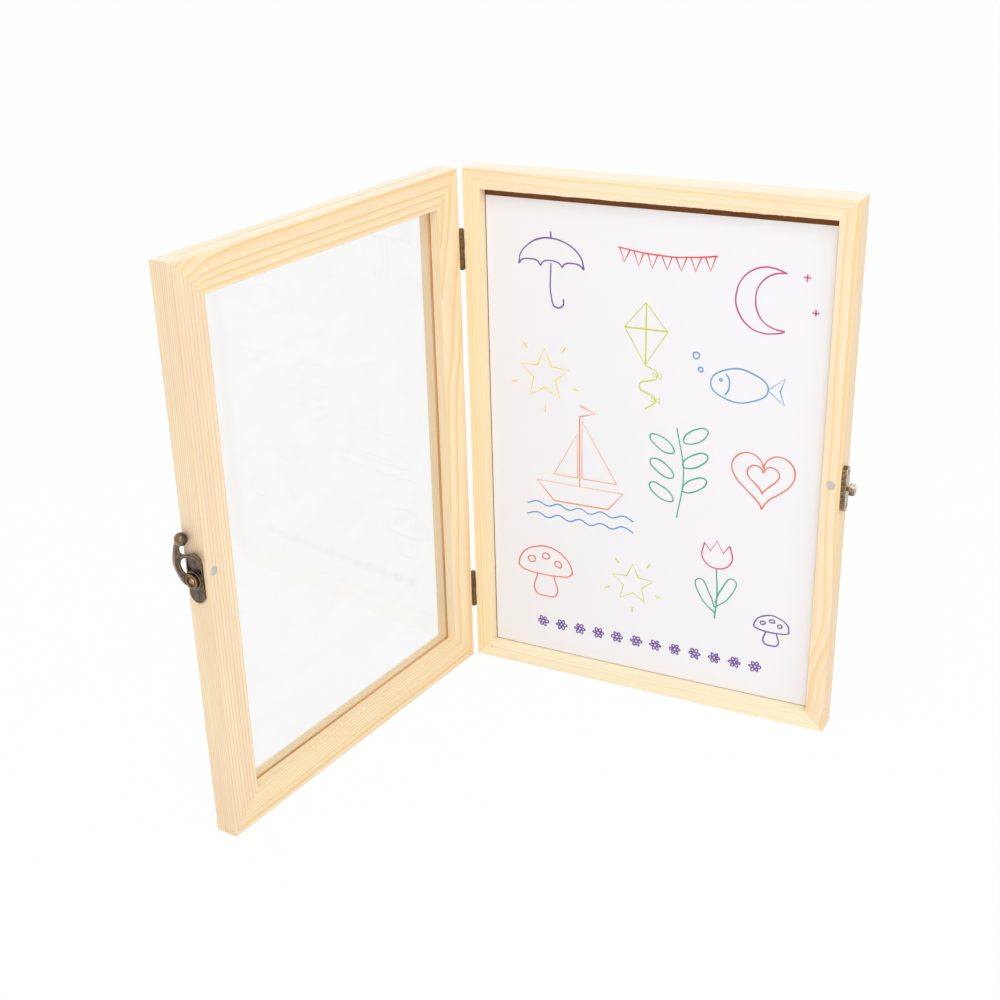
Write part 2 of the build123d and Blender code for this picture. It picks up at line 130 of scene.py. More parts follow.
class Bench:
    """Mesh work on one piece at a time, in millimetres until the piece is mounted."""

    @staticmethod
    def take(piece: Piece) -> None:
        """Select one piece alone and make it active."""
        bpy.ops.object.select_all(action="DESELECT")
        piece.select_set(True)
        bpy.context.view_layer.objects.active = piece

    @staticmethod
    @contextmanager
    def editing(piece: Piece) -> Iterator[None]:
        """Open a piece in edit mode with all of it selected, and close it again."""
        Bench.take(piece)
        bpy.ops.object.mode_set(mode="EDIT")
        bpy.ops.mesh.select_all(action="SELECT")
        yield
        bpy.ops.object.mode_set(mode="OBJECT")

    @staticmethod
    def is_sharp(edge: bmesh.types.BMEdge, degrees: float) -> bool:
        """Whether an edge stands between two faces at more than an angle."""
        return len(edge.link_faces) == 2 and edge.calc_face_angle(0) > math.radians(degrees)

    @staticmethod
    def bevel(piece: Piece, test: Callable[[bmesh.types.BMEdge], bool], width: float, segments: int,
              clamp: bool = False) -> None:
        """Bevel the edges that pass a test, in edit mode.

        Args:
            piece: Piece that is open in edit mode.
            test: Says whether an edge is bevelled.
            width: Width of the bevel in millimetres.
            segments: Steps across the bevel.
            clamp: Whether bevels stop where they would overlap.
        """
        bpy.ops.mesh.select_mode(type="EDGE")
        bpy.ops.mesh.select_all(action="DESELECT")
        chosen = [edge for edge in bmesh.from_edit_mesh(piece.data).edges if test(edge)]
        for edge in chosen:
            edge.select_set(True)
        bmesh.update_edit_mesh(piece.data)
        if chosen:
            bpy.ops.mesh.bevel(offset=width * MM, segments=segments, profile=0.5, clamp_overlap=clamp,
                               affect="EDGES")

    @staticmethod
    def ease(piece: Piece, width: float) -> None:
        """Round over the sharp edges of a piece in metres, by a width in millimetres."""
        with Bench.editing(piece):
            Bench.bevel(piece, lambda edge: Bench.is_sharp(edge, 30), width, 2, clamp=True)
            bpy.ops.mesh.select_all(action="SELECT")
            bpy.ops.mesh.remove_doubles(threshold=1e-7)

    @staticmethod
    def named(name: str) -> Piece:
        """Name the active object and its mesh."""
        piece = bpy.context.active_object
        piece.name = piece.data.name = name
        return piece

    @staticmethod
    def upright_grid(name: str, steps: tuple[int, int], width: float, height: float,
                     middle: Point) -> Piece:
        """Upright grid that faces the front.

        Args:
            name: Name of the piece.
            steps: Number of faces across and up.
            width: Width in millimetres.
            height: Height in millimetres.
            middle: Centre of the grid in millimetres.

        Returns:
            The grid, with its place in its mesh.
        """
        bpy.ops.object.select_all(action="DESELECT")
        bpy.ops.mesh.primitive_grid_add(x_subdivisions=steps[0], y_subdivisions=steps[1], size=2)
        piece = Bench.named(name)
        piece.scale = (width / 2, height / 2, 1)
        piece.rotation_euler = (math.pi / 2, 0, 0)
        piece.location = middle
        bpy.ops.object.transform_apply(location=True, rotation=True, scale=True)
        return piece

    @staticmethod
    def modify(piece: Piece, kind: str, **settings: object) -> None:
        """Add a modifier of one kind to a piece, with its values, and apply it at once."""
        Bench.take(piece)
        modifier = piece.modifiers.new(kind.lower(), kind)
        for key, value in settings.items():
            setattr(modifier, key, value)
        bpy.ops.object.modifier_apply(modifier=modifier.name)

    @staticmethod
    def face_outwards(piece: Piece) -> None:
        """Turn every face of a closed piece outwards."""
        with Bench.editing(piece):
            bpy.ops.mesh.normals_make_consistent(inside=False)

    @staticmethod
    def join(name: str, pieces: Sequence[Piece]) -> Piece:
        """Join pieces into the first one."""
        Bench.take(pieces[0])
        for piece in pieces[1:]:
            piece.select_set(True)
        if len(pieces) > 1:
            bpy.ops.object.join()
        return Bench.named(name)

    @staticmethod
    def smooth(piece: Piece, degrees: float) -> None:
        """Shade a piece smooth below an angle, with its large faces kept flat."""
        Bench.take(piece)
        bpy.ops.object.shade_smooth_by_angle(angle=math.radians(degrees))
        Bench.modify(piece, "WEIGHTED_NORMAL", mode="FACE_AREA", weight=100, keep_sharp=True)

    @staticmethod
    def mount(piece: Piece) -> None:
        """Take a piece from millimetres to metres, with its place in its mesh."""
        piece.data.transform(Matrix.Scale(MM, 4))
        piece.matrix_world = Matrix.Identity(4)
        piece.data.update()

    @staticmethod
    def node_copy(node: str, name: str, whole_faces: bool = True) -> Piece:
        """Merged copy of a CAD node.

        Args:
            node: Name of the CAD node.
            name: Name of the copy.
            whole_faces: Whether flat faces are made whole.

        Returns:
            The copy, in place and in metres.
        """
        piece = bpy.data.objects.new(name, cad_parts[node].data.copy())
        piece.data.name = name
        bpy.context.scene.collection.objects.link(piece)
        piece.data.materials.clear()
        with Bench.editing(piece):
            bpy.ops.mesh.remove_doubles(threshold=1e-6)
            bpy.ops.mesh.customdata_custom_splitnormals_clear()
            if whole_faces:
                bpy.ops.mesh.dissolve_limited(angle_limit=math.radians(0.6))
        return piece


# ---- Finishes ----

class Nodes:
    """Shader nodes in the making."""

    def __init__(self, tree: bpy.types.NodeTree) -> None:
        """Work in one node tree."""
        self.tree = tree

    def fill(self, socket: Socket, value: object) -> None:
        """Give a socket a value, or link it where the value is another socket."""
        if isinstance(value, bpy.types.NodeSocket):
            self.tree.links.new(value, socket)
        else:
            socket.default_value = value

    def add(self, kind: str, output: str, inputs: dict[object, object], **settings: object) -> Socket:
        """Add a node.

        Args:
            kind: Node type without its prefix.
            output: Name of the output that is wanted.
            inputs: Value or socket for each input, by name or number.
            settings: Values of the node itself.

        Returns:
            The wanted output.
        """
        node = self.tree.nodes.new(f"ShaderNode{kind}")
        for key, value in settings.items():
            setattr(node, key, value)
        for key, value in inputs.items():
            self.fill(node.inputs[key], value)
        return node.outputs[output]

    def mapped(self, vector: Socket, scale: Point, location: Point = (0, 0, 0),
               rotation: Point = (0, 0, 0)) -> Socket:
        """Scaled, turned and moved coordinates."""
        return self.add("Mapping", "Vector", {"Vector": vector, "Scale": scale, "Location": location,
                                              "Rotation": rotation})

    def millimetres(self, location: Point = (0, 0, 0), rotation: Point = (0, 0, 0)) -> Socket:
        """Object coordinates in millimetres, turned and moved."""
        return self.mapped(self.add("TexCoord", "Object", {}), (1 / MM,) * 3, location, rotation)

    def maths(self, operation: str, *values: object) -> Socket:
        """Result of one Math node."""
        return self.add("Math", "Value", dict(enumerate(values)), operation=operation)

    def times(self, first: object, second: object) -> Socket:
        """Product of two values."""
        return self.maths("MULTIPLY", first, second)

    def measured(self, operation: str, vector: Socket, other: Point) -> Socket:
        """Value that a VectorMath node makes of two vectors."""
        return self.add("VectorMath", "Value", {0: vector, 1: other}, operation=operation)

    def noise(self, place: Socket, scale: object, detail: float = 2.0, roughness: float = 0.5,
              distortion: float = 0.0) -> Socket:
        """Noise from 0 to 1, at one scale or at a scale for each direction."""
        if isinstance(scale, tuple):
            place, scale = self.mapped(place, scale), 1.0
        return self.add("TexNoise", "Fac", {"Vector": place, "Scale": scale, "Detail": detail,
                                            "Roughness": roughness, "Distortion": distortion})

    def chance(self, value: Socket, seed: float) -> Socket:
        """Random value from 0 to 1 for each whole number."""
        return self.add("TexWhiteNoise", "Value", {"W": self.maths("ADD", value, seed)},
                        noise_dimensions="1D")

    def between(self, value: Socket, low: float, high: float, start: float = 0.0,
                end: float = 1.0) -> Socket:
        """Value carried from one range to another, held at its ends."""
        return self.add("MapRange", "Result", {"Value": value, "From Min": low, "From Max": high,
                                               "To Min": start, "To Max": end})

    def curve(self, value: Socket, stops: Line) -> Socket:
        """Grey value read off stops along a ramp."""
        node = self.tree.nodes.new("ShaderNodeValToRGB")
        self.fill(node.inputs["Fac"], value)
        marks = node.color_ramp.elements
        while len(marks) > 1:
            marks.remove(marks[-1])
        marks[0].position = stops[0][0]
        marks[0].color = (stops[0][1],) * 3 + (1,)
        for place, grey in stops[1:]:
            marks.new(place).color = (grey,) * 3 + (1,)
        return node.outputs["Color"]

    def profile(self, value: Socket, points: Line) -> Socket:
        """Smooth line through points, read at a value.

        Args:
            value: Where the line is read.
            points: Place and height of each point, in rising order of place.

        Returns:
            Height of the line, held at its ends.
        """
        first, last = points[0][0], points[-1][0]
        low, high = min(height for _, height in points), max(height for _, height in points)
        node = self.tree.nodes.new("ShaderNodeFloatCurve")
        self.fill(node.inputs["Value"], self.between(value, first, last))
        shares = [((place - first) / (last - first), (height - low) / (high - low))
                  for place, height in points]
        marks = node.mapping.curves[0].points
        marks[0].location, marks[1].location = shares[0], shares[-1]
        for share in shares[1:-1]:
            marks.new(*share)
        node.mapping.update()
        return self.between(node.outputs["Value"], 0, 1, low, high)

    def mix(self, share: object, first: object, second: object, blend: str = "MIX") -> Socket:
        """Colour between two colours."""
        node = self.tree.nodes.new("ShaderNodeMix")
        node.data_type = "RGBA"
        node.blend_type = blend
        colours = [socket for socket in node.inputs if socket.type == "RGBA"]
        for socket, value in zip((node.inputs[0], *colours), (share, first, second)):
            self.fill(socket, value)
        return next(socket for socket in node.outputs if socket.type == "RGBA")

    def tint(self, colour: object, other: object, value: Socket, low: float, high: float,
             share: float = 1.0) -> Socket:
        """Colour that turns to another one where a value is high.

        Args:
            colour: Colour where the value is low.
            other: Colour that it turns to.
            value: Value that decides.
            low: Value at which the other colour starts.
            high: Value at which it has its full share.
            share: Its full share.

        Returns:
            The mixed colour.
        """
        return self.mix(self.between(value, low, high, 0.0, share), colour, other)

    def grey(self, value: Socket) -> Socket:
        """Grey colour of a value."""
        return self.add("CombineColor", "Color", dict.fromkeys(range(3), value))

    def bump(self, height: Socket, distance: float) -> Socket:
        """Normal roughened by a height, whose full distance is in millimetres."""
        return self.add("Bump", "Normal", {"Height": height, "Distance": distance * MM, "Strength": 1.0})

    def split(self, vector: Socket) -> tuple[Socket, ...]:
        """The three parts of a vector."""
        node = self.tree.nodes.new("ShaderNodeSeparateXYZ")
        self.fill(node.inputs[0], vector)
        return tuple(node.outputs)


class Recipe(Nodes):
    """Material in the making, with one shader."""

    def __init__(self, name: str) -> None:
        """Start an empty material."""
        self.material = bpy.data.materials.new(name)
        self.material.use_nodes = True
        super().__init__(self.material.node_tree)
        self.tree.nodes.clear()
        self.output = self.tree.nodes.new("ShaderNodeOutputMaterial")
        self.shader = self.tree.nodes.new("ShaderNodeBsdfPrincipled")
        self.tree.links.new(self.shader.outputs["BSDF"], self.output.inputs["Surface"])

    def set(self, **values: object) -> None:
        """Fill sockets of the shader, named with underscores for spaces."""
        for key, value in values.items():
            self.fill(self.shader.inputs[key.replace("_", " ")], value)


PORE = srgb(204, 158, 104)
# Pale colour of the painted sheen on the top faces of the rails.
PAINTED_SHEEN_COLOUR = srgb(250, 242, 225)
DARK_SPOT = srgb(120, 78, 42)


@dataclass(frozen=True)
class Spot:
    """Natural dark dot in the wood, in the member's own grain frame."""

    along: float
    across: float
    behind: float
    radius: float


@dataclass(frozen=True)
class PineFinish:
    """Sanded pine of one frame member, with the growth rings drawn where they cross its faces.

    The grain frame has its first axis along the member, its second across the face and its third
    behind the face, in millimetres. The rings are counted across the face by the spacing, shifted by
    the sway along the member, and spread from the pivot by the fan near one end. The groove is the
    middle of the pane's groove across the face, where the member has one.
    """

    name: str
    frame: Matrix
    seed: float
    spacing: Line
    side_pitch: float
    pale: Colour
    line: Colour
    blush: Colour = srgb(249, 223, 188)
    blush_share: float = 0.6
    sway: Line = ((0.0, 0.0), (330.0, 0.2))
    fan: Line = ((0.0, 1.0), (330.0, 1.001))
    pivot: float = 20.0
    wander: float = 0.14
    contrast: float = 1.0
    breadth: float = 0.5
    faintest: float = 0.35
    # Share of the painted sheen on the top face.
    painted_top_sheen: float = 0.0
    # Middle of the pane's groove, whose walls get a painted glow.
    groove: Optional[float] = None
    groove_depth: float = 7.05
    spots: tuple[Spot, ...] = ()

    def make(self) -> Material:
        """Make the material.

        Returns:
            Pine with growth rings, fibres, a warm blush and any dark dots.
        """
        recipe = Recipe(self.name)
        grain = recipe.millimetres(tuple(self.frame.translation), tuple(self.frame.to_euler("XYZ")))
        shifted = recipe.mapped(grain, (1, 1, 1), (self.seed * 37.0, self.seed * 11.0, 0))
        fibres = recipe.noise(shifted, (0.16, 5.5, 5.5), 3.0, 0.6)
        streaks = recipe.noise(shifted, (0.018, 0.9, 0.9))
        late, broad = self.late_wood(recipe, self.rings(recipe, grain, shifted))
        patch = recipe.noise(shifted, (0.012, 0.09, 0.09))
        colour = recipe.tint(self.pale, self.blush, patch, 0.38, 0.66, self.blush_share)
        colour = recipe.mix(recipe.times(broad, self.contrast), colour, self.line)
        colour = recipe.mix(late, colour, self.line)
        colour = recipe.tint(colour, self.line, streaks, 0.5, 0.8, 0.25 * self.contrast)
        tone = recipe.between(fibres, 0.3, 0.7, 0.965, 1.015)
        colour = recipe.mix(1.0, colour, recipe.grey(tone), "MULTIPLY")
        pores = recipe.noise(recipe.mapped(shifted, (0.35, 4.2, 4.2), (9, 5, 3)), 1.0, 1.0)
        colour = recipe.tint(colour, PORE, pores, 0.72, 0.80, 0.3)
        across, behind = recipe.split(grain)[1:]
        # Painted sheen: the top face, where across is nearly nothing, is turned paler, as light glancing
        # off it would make it.
        if self.painted_top_sheen:
            colour = recipe.mix(recipe.between(across, 0.1, 0.45, self.painted_top_sheen, 0.0), colour, PAINTED_SHEEN_COLOUR)
        # Painted light: the walls of the pane's groove glow warm.
        if self.groove is not None:
            self.paint_groove_glow(recipe, across, behind, streaks)
        for spot in self.spots:
            middle = (spot.along * 0.7, spot.across, spot.behind)
            away = recipe.measured("DISTANCE", recipe.mapped(grain, (0.7, 1, 1)), middle)
            dark = recipe.between(away, spot.radius * 0.4, spot.radius, 0.8, 0.0)
            colour = recipe.mix(dark, colour, DARK_SPOT)
        height = recipe.maths("MULTIPLY_ADD", fibres, 0.6, recipe.times(late, 0.5))
        recipe.set(Base_Color=colour, Roughness=recipe.between(fibres, 0.2, 0.8, 0.5, 0.64),
                   Specular_IOR_Level=0.32, Normal=recipe.bump(height, 0.035))
        return recipe.material

    def late_wood(self, recipe: Recipe, rings: Socket) -> tuple[Socket, Socket]:
        """Dark lines of the late wood, and the broad shade that leads up to some of them."""
        number, share = recipe.maths("FLOOR", rings), recipe.maths("FRACT", rings)
        rise = 1 - self.breadth
        late = recipe.curve(share, ((0.0, 0.0), (rise, 0.04), (rise + 0.55 * self.breadth, 0.38),
                                    (0.90, 0.95), (0.95, 1.0), (0.995, 0.0)))
        strength = recipe.between(recipe.chance(number, self.seed), 0, 1, self.faintest * self.contrast,
                                  self.contrast)
        broad = recipe.curve(share, ((0.0, 0.0), (0.35, 0.35), (0.9, 1.0), (0.99, 0.0)))
        shaded = recipe.between(recipe.chance(number, self.seed + 0.37), 0.55, 0.95, 0.0, 0.55)
        return recipe.times(late, strength), recipe.times(broad, shaded)

    def rings(self, recipe: Recipe, grain: Socket, shifted: Socket) -> Socket:
        """Count of growth rings at each place, which runs on between the lines."""
        along, across, behind = recipe.split(grain)
        spread = recipe.maths("MULTIPLY_ADD", recipe.maths("SUBTRACT", across, self.pivot),
                              recipe.profile(along, self.fan), self.pivot)
        placed = recipe.maths("SUBTRACT", spread, recipe.profile(along, self.sway))
        first, last = self.spacing[0], self.spacing[-1]
        if len(self.spacing) == 2:
            pitch = (last[0] - first[0]) / (last[1] - first[1])
            count = recipe.maths("ADD", recipe.maths("DIVIDE", placed, pitch), first[1] - first[0] / pitch)
        else:
            count = recipe.profile(placed, self.spacing)
        count = recipe.maths("ADD", count, recipe.maths("DIVIDE", behind, self.side_pitch))
        slow = recipe.noise(shifted, (0.013, 0.05, 0.05), 1.0)
        lively = recipe.noise(shifted, (0.05, 0.22, 0.22))
        for waves, reach in ((slow, 4 * self.wander), (lively, self.wander)):
            count = recipe.maths("MULTIPLY_ADD", recipe.maths("SUBTRACT", waves, 0.5), reach, count)
        return count

    def paint_groove_glow(self, recipe: Recipe, across: Socket, behind: Socket, streaks: Socket) -> None:
        """Painted light: a warm glow on the walls of the pane's groove, lifting their shade."""
        near = recipe.maths("ABSOLUTE", recipe.maths("SUBTRACT", across, self.groove))
        deep = recipe.maths("ABSOLUTE", recipe.maths("SUBTRACT", behind, self.groove_depth))
        inside = recipe.times(recipe.between(near, 4.2, 4.3, 1.0, 0.0),
                              recipe.between(deep, 1.1, 1.2, 1.0, 0.0))
        glow = recipe.times(inside, recipe.between(streaks, 0.4, 0.6, 0.15, 1.2))
        recipe.set(Emission_Color=(0.155, 0.066, 0.018, 1.0), Emission_Strength=glow)


@dataclass(frozen=True)
class MetalFinish:
    """Cast or pressed metal with a darker patina, rubbed bare where worn, with painted shade and
    highlight.
    """

    name: str
    body: Colour
    patina: Colour
    worn: Colour
    roughness: tuple[float, float]
    grain: float = 0.9
    bump_depth: float = 0.05
    wear: float = 0.5
    edges: bool = True
    coat: float = 0.0
    # Faces turned away from this axis take painted shade.
    outward: Optional[Point] = None
    handled: tuple[tuple[Point, float], ...] = ()
    bright: Optional[Colour] = None

    def make(self) -> Material:
        """Make the material.

        Returns:
            Metal with mottled patina, wear on its raised edges, any painted shade and highlight, and a
            fine cast surface.
        """
        recipe = Recipe(self.name)
        place = recipe.millimetres()
        mottle = recipe.noise(place, self.grain * 0.55, 4.0, 0.6)
        fine = recipe.noise(place, self.grain * 4.0, 3.0, 0.6)
        colour = recipe.tint(self.patina, self.body, mottle, 0.35, 0.65)
        if self.edges:
            edge = recipe.maths("MULTIPLY_ADD", fine, 0.05, recipe.add("NewGeometry", "Pointiness", {}))
            worn = recipe.between(edge, 0.524, 0.565, 0.0, self.wear)
        else:
            worn = recipe.between(mottle, 0.56, 0.72, 0.0, self.wear)
        for middle, radius in self.handled:
            away = recipe.measured("DISTANCE", place, middle)
            near = recipe.times(recipe.between(away, radius * 0.8, radius * 1.1, 1.0, 0.0),
                                recipe.between(mottle, 0.36, 0.52, 0.4, 1.0))
            # Painted highlight: the spot takes a pale colour that stands in for light off its top as well
            # as for wear.
            if self.bright:
                colour = recipe.mix(near, colour, self.bright)
            else:
                worn = recipe.maths("MAXIMUM", worn, near)
        colour = recipe.mix(worn, colour, self.worn)
        # Painted shade: faces turned away from the axis take the patina's dark colour, as shade would fall
        # on them.
        if self.outward:
            facing = recipe.measured("DOT_PRODUCT", recipe.add("TexCoord", "Normal", {}), self.outward)
            colour = recipe.mix(recipe.between(facing, 0.2, 0.72, 0.85, 0.0), colour, self.patina)
        recipe.set(Base_Color=colour, Metallic=1.0, Coat_Weight=self.coat, Coat_Roughness=0.18,
                   Roughness=recipe.between(fine, 0.3, 0.7, *self.roughness),
                   Normal=recipe.bump(recipe.maths("MULTIPLY_ADD", mottle, 1.6, fine), self.bump_depth))
        return recipe.material


@dataclass(frozen=True)
class Fleck:
    """Second colour that noise carries over a surface, from one value of the noise to another."""

    colour: Colour
    noise: tuple[object, ...]
    low: float
    high: float
    share: float = 1.0


@dataclass(frozen=True)
class FleckedFinish:
    """Matt surface with flecks over its body colour. The noise of the first ones also roughens it."""

    name: str
    body: Colour
    flecks: tuple[Fleck, ...]
    roughness: tuple[float, float]
    depth: float
    specular: float = 0.5

    def make(self) -> Material:
        """Make the material."""
        recipe = Recipe(self.name)
        place = recipe.millimetres()
        values = [recipe.noise(place, *fleck.noise) for fleck in self.flecks]
        colour = self.body
        for fleck, value in zip(self.flecks, values):
            colour = recipe.tint(colour, fleck.colour, value, fleck.low, fleck.high, fleck.share)
        recipe.set(Base_Color=colour, Roughness=recipe.between(values[0], 0.3, 0.7, *self.roughness),
                   Specular_IOR_Level=self.specular, Normal=recipe.bump(values[0], self.depth))
        return recipe.material


# Hardboard brown darkened to the panel's look in the shadow behind the sheet: partly its own colour,
# partly painted shade.
HARDBOARD = FleckedFinish("hardboard_fibre", srgb(90, 46, 14), (
    Fleck(srgb(122, 70, 28), ((0.6, 1.8, 1.32), 6.0, 0.7, 1.4), 0.32, 0.7),
    Fleck(srgb(140, 84, 38), (0.03, 3.0), 0.35, 0.7, 0.35),
    Fleck(srgb(66, 34, 12), (2.2,), 0.66, 0.74, 0.5)), (0.55, 0.75), 0.05, 0.3)
DRAWING_PAPER = FleckedFinish("drawing_paper", srgb(245, 244, 247), (
    Fleck(srgb(226, 225, 232), (2.4, 4.0, 0.65), 0.3, 0.7, 0.10),
    Fleck(srgb(240, 240, 245), (0.02,), 0.35, 0.7, 0.25)), (0.62, 0.62), 0.012, 0.3)
SAWN_EDGE = FleckedFinish("sawn_acrylic_edge", srgb(250, 240, 218), (
    Fleck(srgb(243, 226, 194), (2.4, 3.0, 0.7), 0.3, 0.7),), (0.5, 0.5), 0.04)
BEECH_PEG = FleckedFinish("beech_peg", srgb(226, 184, 140), (
    Fleck(srgb(196, 146, 102), ((3.0, 3.0, 0.6), 3.0, 0.6), 0.35, 0.7),), (0.6, 0.6), 0.03)


def crayon(name: str, body: Colour) -> FleckedFinish:
    """One colour of drawing line, a little uneven like a printed crayon."""
    pale = tuple(min(1.0, part * 0.75 + 0.25) for part in body[:3]) + (1.0,)
    return FleckedFinish(name, body, (Fleck(pale, (1.3, 3.0, 0.7), 0.45, 0.75, 0.55),), (0.6, 0.6), 0.01,
                         0.25)


def bronze(name: str, **values: object) -> MetalFinish:
    """Antique bronze of the hinges and the latch, with the values that differ from the plain one."""
    plain = {"body": srgb(98, 82, 70), "patina": srgb(48, 36, 28), "worn": srgb(196, 150, 78)}
    return MetalFinish(name, roughness=(0.16, 0.32), coat=0.8, **{**plain, **values})


@dataclass(frozen=True)
class ClearFinish:
    """Clear acrylic sheet: a mirror as weak as its Fresnel share, with a trace of haze."""

    name: str = "clear_acrylic"
    straight_on: float = 0.04
    haze: tuple[float, float] = (0.014, 0.030)

    def make(self) -> Material:
        """Make the material."""
        recipe = Recipe(self.name)
        smear = recipe.noise(recipe.millimetres(), (0.02, 0.02, 0.05), 4.0, 0.6, 0.6)
        slant = recipe.maths("POWER", recipe.add("LayerWeight", "Facing", {"Blend": 0.5}), 5.0)
        mirror = recipe.maths("MULTIPLY_ADD", slant, 1 - self.straight_on, self.straight_on)
        recipe.set(Base_Color=recipe.tint(srgb(214, 217, 216), srgb(204, 206, 205), smear, 0.3, 0.7),
                   Roughness=recipe.between(smear, 0.45, 0.75, 0.03, 0.09), Metallic=1.0,
                   Alpha=recipe.maths("ADD", mirror, recipe.between(smear, 0.3, 0.7, *self.haze)))
        return recipe.material


FINISHES: dict[str, Material] = {}


def finish(recipe: object) -> Material:
    """Material of a finish, made once for each name."""
    if recipe.name not in FINISHES:
        FINISHES[recipe.name] = recipe.make()
    return FINISHES[recipe.name]


def dress(piece: Piece, material: Material) -> None:
    """Give every slot of a piece one material."""
    if not piece.data.materials:
        piece.data.materials.append(material)
    for place in range(len(piece.data.materials)):
        piece.data.materials[place] = material


def deliver(piece: Piece, body: Body, slot: Slot, *nodes: str) -> None:
    """Hand a finished piece over to the frame.

    Args:
        piece: Finished piece.
        body: CAD body that it rides on.
        slot: Material slot of the record; not used.
        nodes: CAD nodes that it stands for.
    """
    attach(piece, body.value)
    if nodes:
        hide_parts(*nodes)
    log.info("%s rides on %s%s", piece.name, body.value, ", replaces " + ", ".join(nodes) if nodes else "")


# ---- Wood ----

class Member(Enum):
    """The four members of a mitred frame."""

    HINGE_STILE = "stile_hinge_side"
    LATCH_STILE = "stile_latch_side"
    TOP_RAIL = "rail_top"
    BOTTOM_RAIL = "rail_bottom"


@dataclass
class WoodFrame:
    """Mitred pine frame whose members are the CAD members with their arrises eased.

    Fibres reach down by a least length, by slow and quick waves, and by a stray bit of their own.
    """

    body: Body
    border: float
    looks: dict[Member, Look]
    arris: float = 0.35
    arris_least: float = 30.0
    mitre: float = 0.08
    mitre_least: float = 2.0
    groove_span: tuple[float, float] = (5.5, 8.6)
    fibre_reach: tuple[float, float, float, float] = (0.46, 0.35, 0.3, 0.14)
    fibre_longest: float = 1.1
    fibre_steps: int = 330

    def grain_frame(self, member: Member) -> Matrix:
        """Turn from the row frame in millimetres to a member's grain frame.

        Args:
            member: Member of this frame.

        Returns:
            Matrix that gives along, across and behind the face.
        """
        side = 1 if self.body is Body.BASE else -1
        front = SIZES.base_front if self.body is Body.BASE else SIZES.door_mating
        half = SIZES.half_width
        if member in (Member.HINGE_STILE, Member.LATCH_STILE):
            first = (member is Member.HINGE_STILE) == (self.body is Body.BASE)
            edge = -side * half if first else side * (half - self.border)
            placed = axes((0, 0, 1), (side, 0, 0), (0, side, 0), (edge, front, 0))
        else:
            top = SIZES.height if member is Member.TOP_RAIL else self.border
            placed = axes((side, 0, 0), (0, 0, -1), (0, side, 0), (-side * half, front, top))
        return (placed if self.body is Body.BASE else door_swing() @ placed).inverted()

    def pine(self, member: Member) -> Material:
        """Pine of one member."""
        name = f"pine_of_{self.body.value}_{member.value}"
        return finish(PineFinish(name, self.grain_frame(member), **self.looks[member]))

    def build(self) -> None:
        """Build the four members."""
        for member in Member:
            node = f"{self.body.value}_{member.value}"
            piece = Bench.node_copy(node, f"pine_{node}")
            self.ease_member(piece, self.grain_frame(member))
            Bench.smooth(piece, 28)
            dress(piece, self.pine(member))
            deliver(piece, self.body, Slot.PINE, node)

    def torn_edge(self) -> None:
        """Fringe of torn fibres along the lower front edge of the top rail."""
        edge = SIZES.height - self.border
        piece = Bench.upright_grid(f"torn_fibres_{self.body.value}_rail_top", (self.fibre_steps, 1),
                                   2 * (SIZES.half_width - self.border), 1.0,
                                   (0, SIZES.base_front + 0.02, edge - 0.3))
        hand = random.Random(5)
        least, slowly, quickly, stray = self.fibre_reach
        for vertex in piece.data.vertices:
            if vertex.co.z < edge:
                slow = noise.noise(Vector((vertex.co.x * 0.07, 3.1, 0)))
                quick = noise.noise(Vector((vertex.co.x * 0.9, 7.7, 0)))
                waves = slowly * max(0.0, slow) + quickly * max(0.0, quick)
                vertex.co.z = edge - min(self.fibre_longest, least + waves + stray * hand.random() ** 3)
        Bench.modify(piece, "SOLIDIFY", thickness=0.3, offset=-1.0)
        Bench.mount(piece)
        Bench.face_outwards(piece)
        dress(piece, self.pine(Member.TOP_RAIL))
        deliver(piece, self.body, Slot.PINE)

    def ease_member(self, piece: Piece, into_grain: Matrix) -> None:
        """Ease the long arrises well and the mitred ends only a little."""
        def run_of(edge: bmesh.types.BMEdge) -> tuple[float, float]:
            """Length of an edge in metres, and its share along the grain."""
            run = into_grain.to_3x3() @ (edge.verts[1].co - edge.verts[0].co)
            return run.length, abs(run.x) / max(run.length, 1e-9)

        def long_edge(edge: bmesh.types.BMEdge) -> bool:
            """Whether an edge is a long arris, but not one of the pane's groove."""
            length, share = run_of(edge)
            behind = (into_grain @ (edge.verts[0].co / MM)).z
            grooved = self.body is Body.DOOR and self.groove_span[0] < behind < self.groove_span[1]
            return (Bench.is_sharp(edge, 35) and share > 0.97 and length > self.arris_least * MM
                    and not grooved)

        def mitre_edge(edge: bmesh.types.BMEdge) -> bool:
            """Whether an edge is one of a mitre."""
            length, share = run_of(edge)
            return Bench.is_sharp(edge, 35) and 0.4 < share < 0.9 and length > self.mitre_least * MM

        with Bench.editing(piece):
            Bench.bevel(piece, long_edge, self.arris, 2)
            Bench.bevel(piece, mitre_edge, self.mitre, 1)


# ---- Paper and drawing ----

# Sizes in millimetres of the motifs that have small parts of a fixed size.
MOON_SIZE = KITE_SIZE = 19.0
BOAT_SIZE = 29.0


class Ink(Enum):
    """Line colours of the drawing."""

    MAGENTA = (198, 62, 140)
    YELLOW = (248, 222, 60)
    RED = (232, 72, 84)
    VIOLET = (112, 76, 160)
    PINK = (226, 78, 132)
    LIME = (208, 216, 66)
    TEAL = (62, 172, 136)
    ORANGE = (240, 146, 74)
    BLUE = (88, 156, 216)
    CORAL = (240, 110, 88)


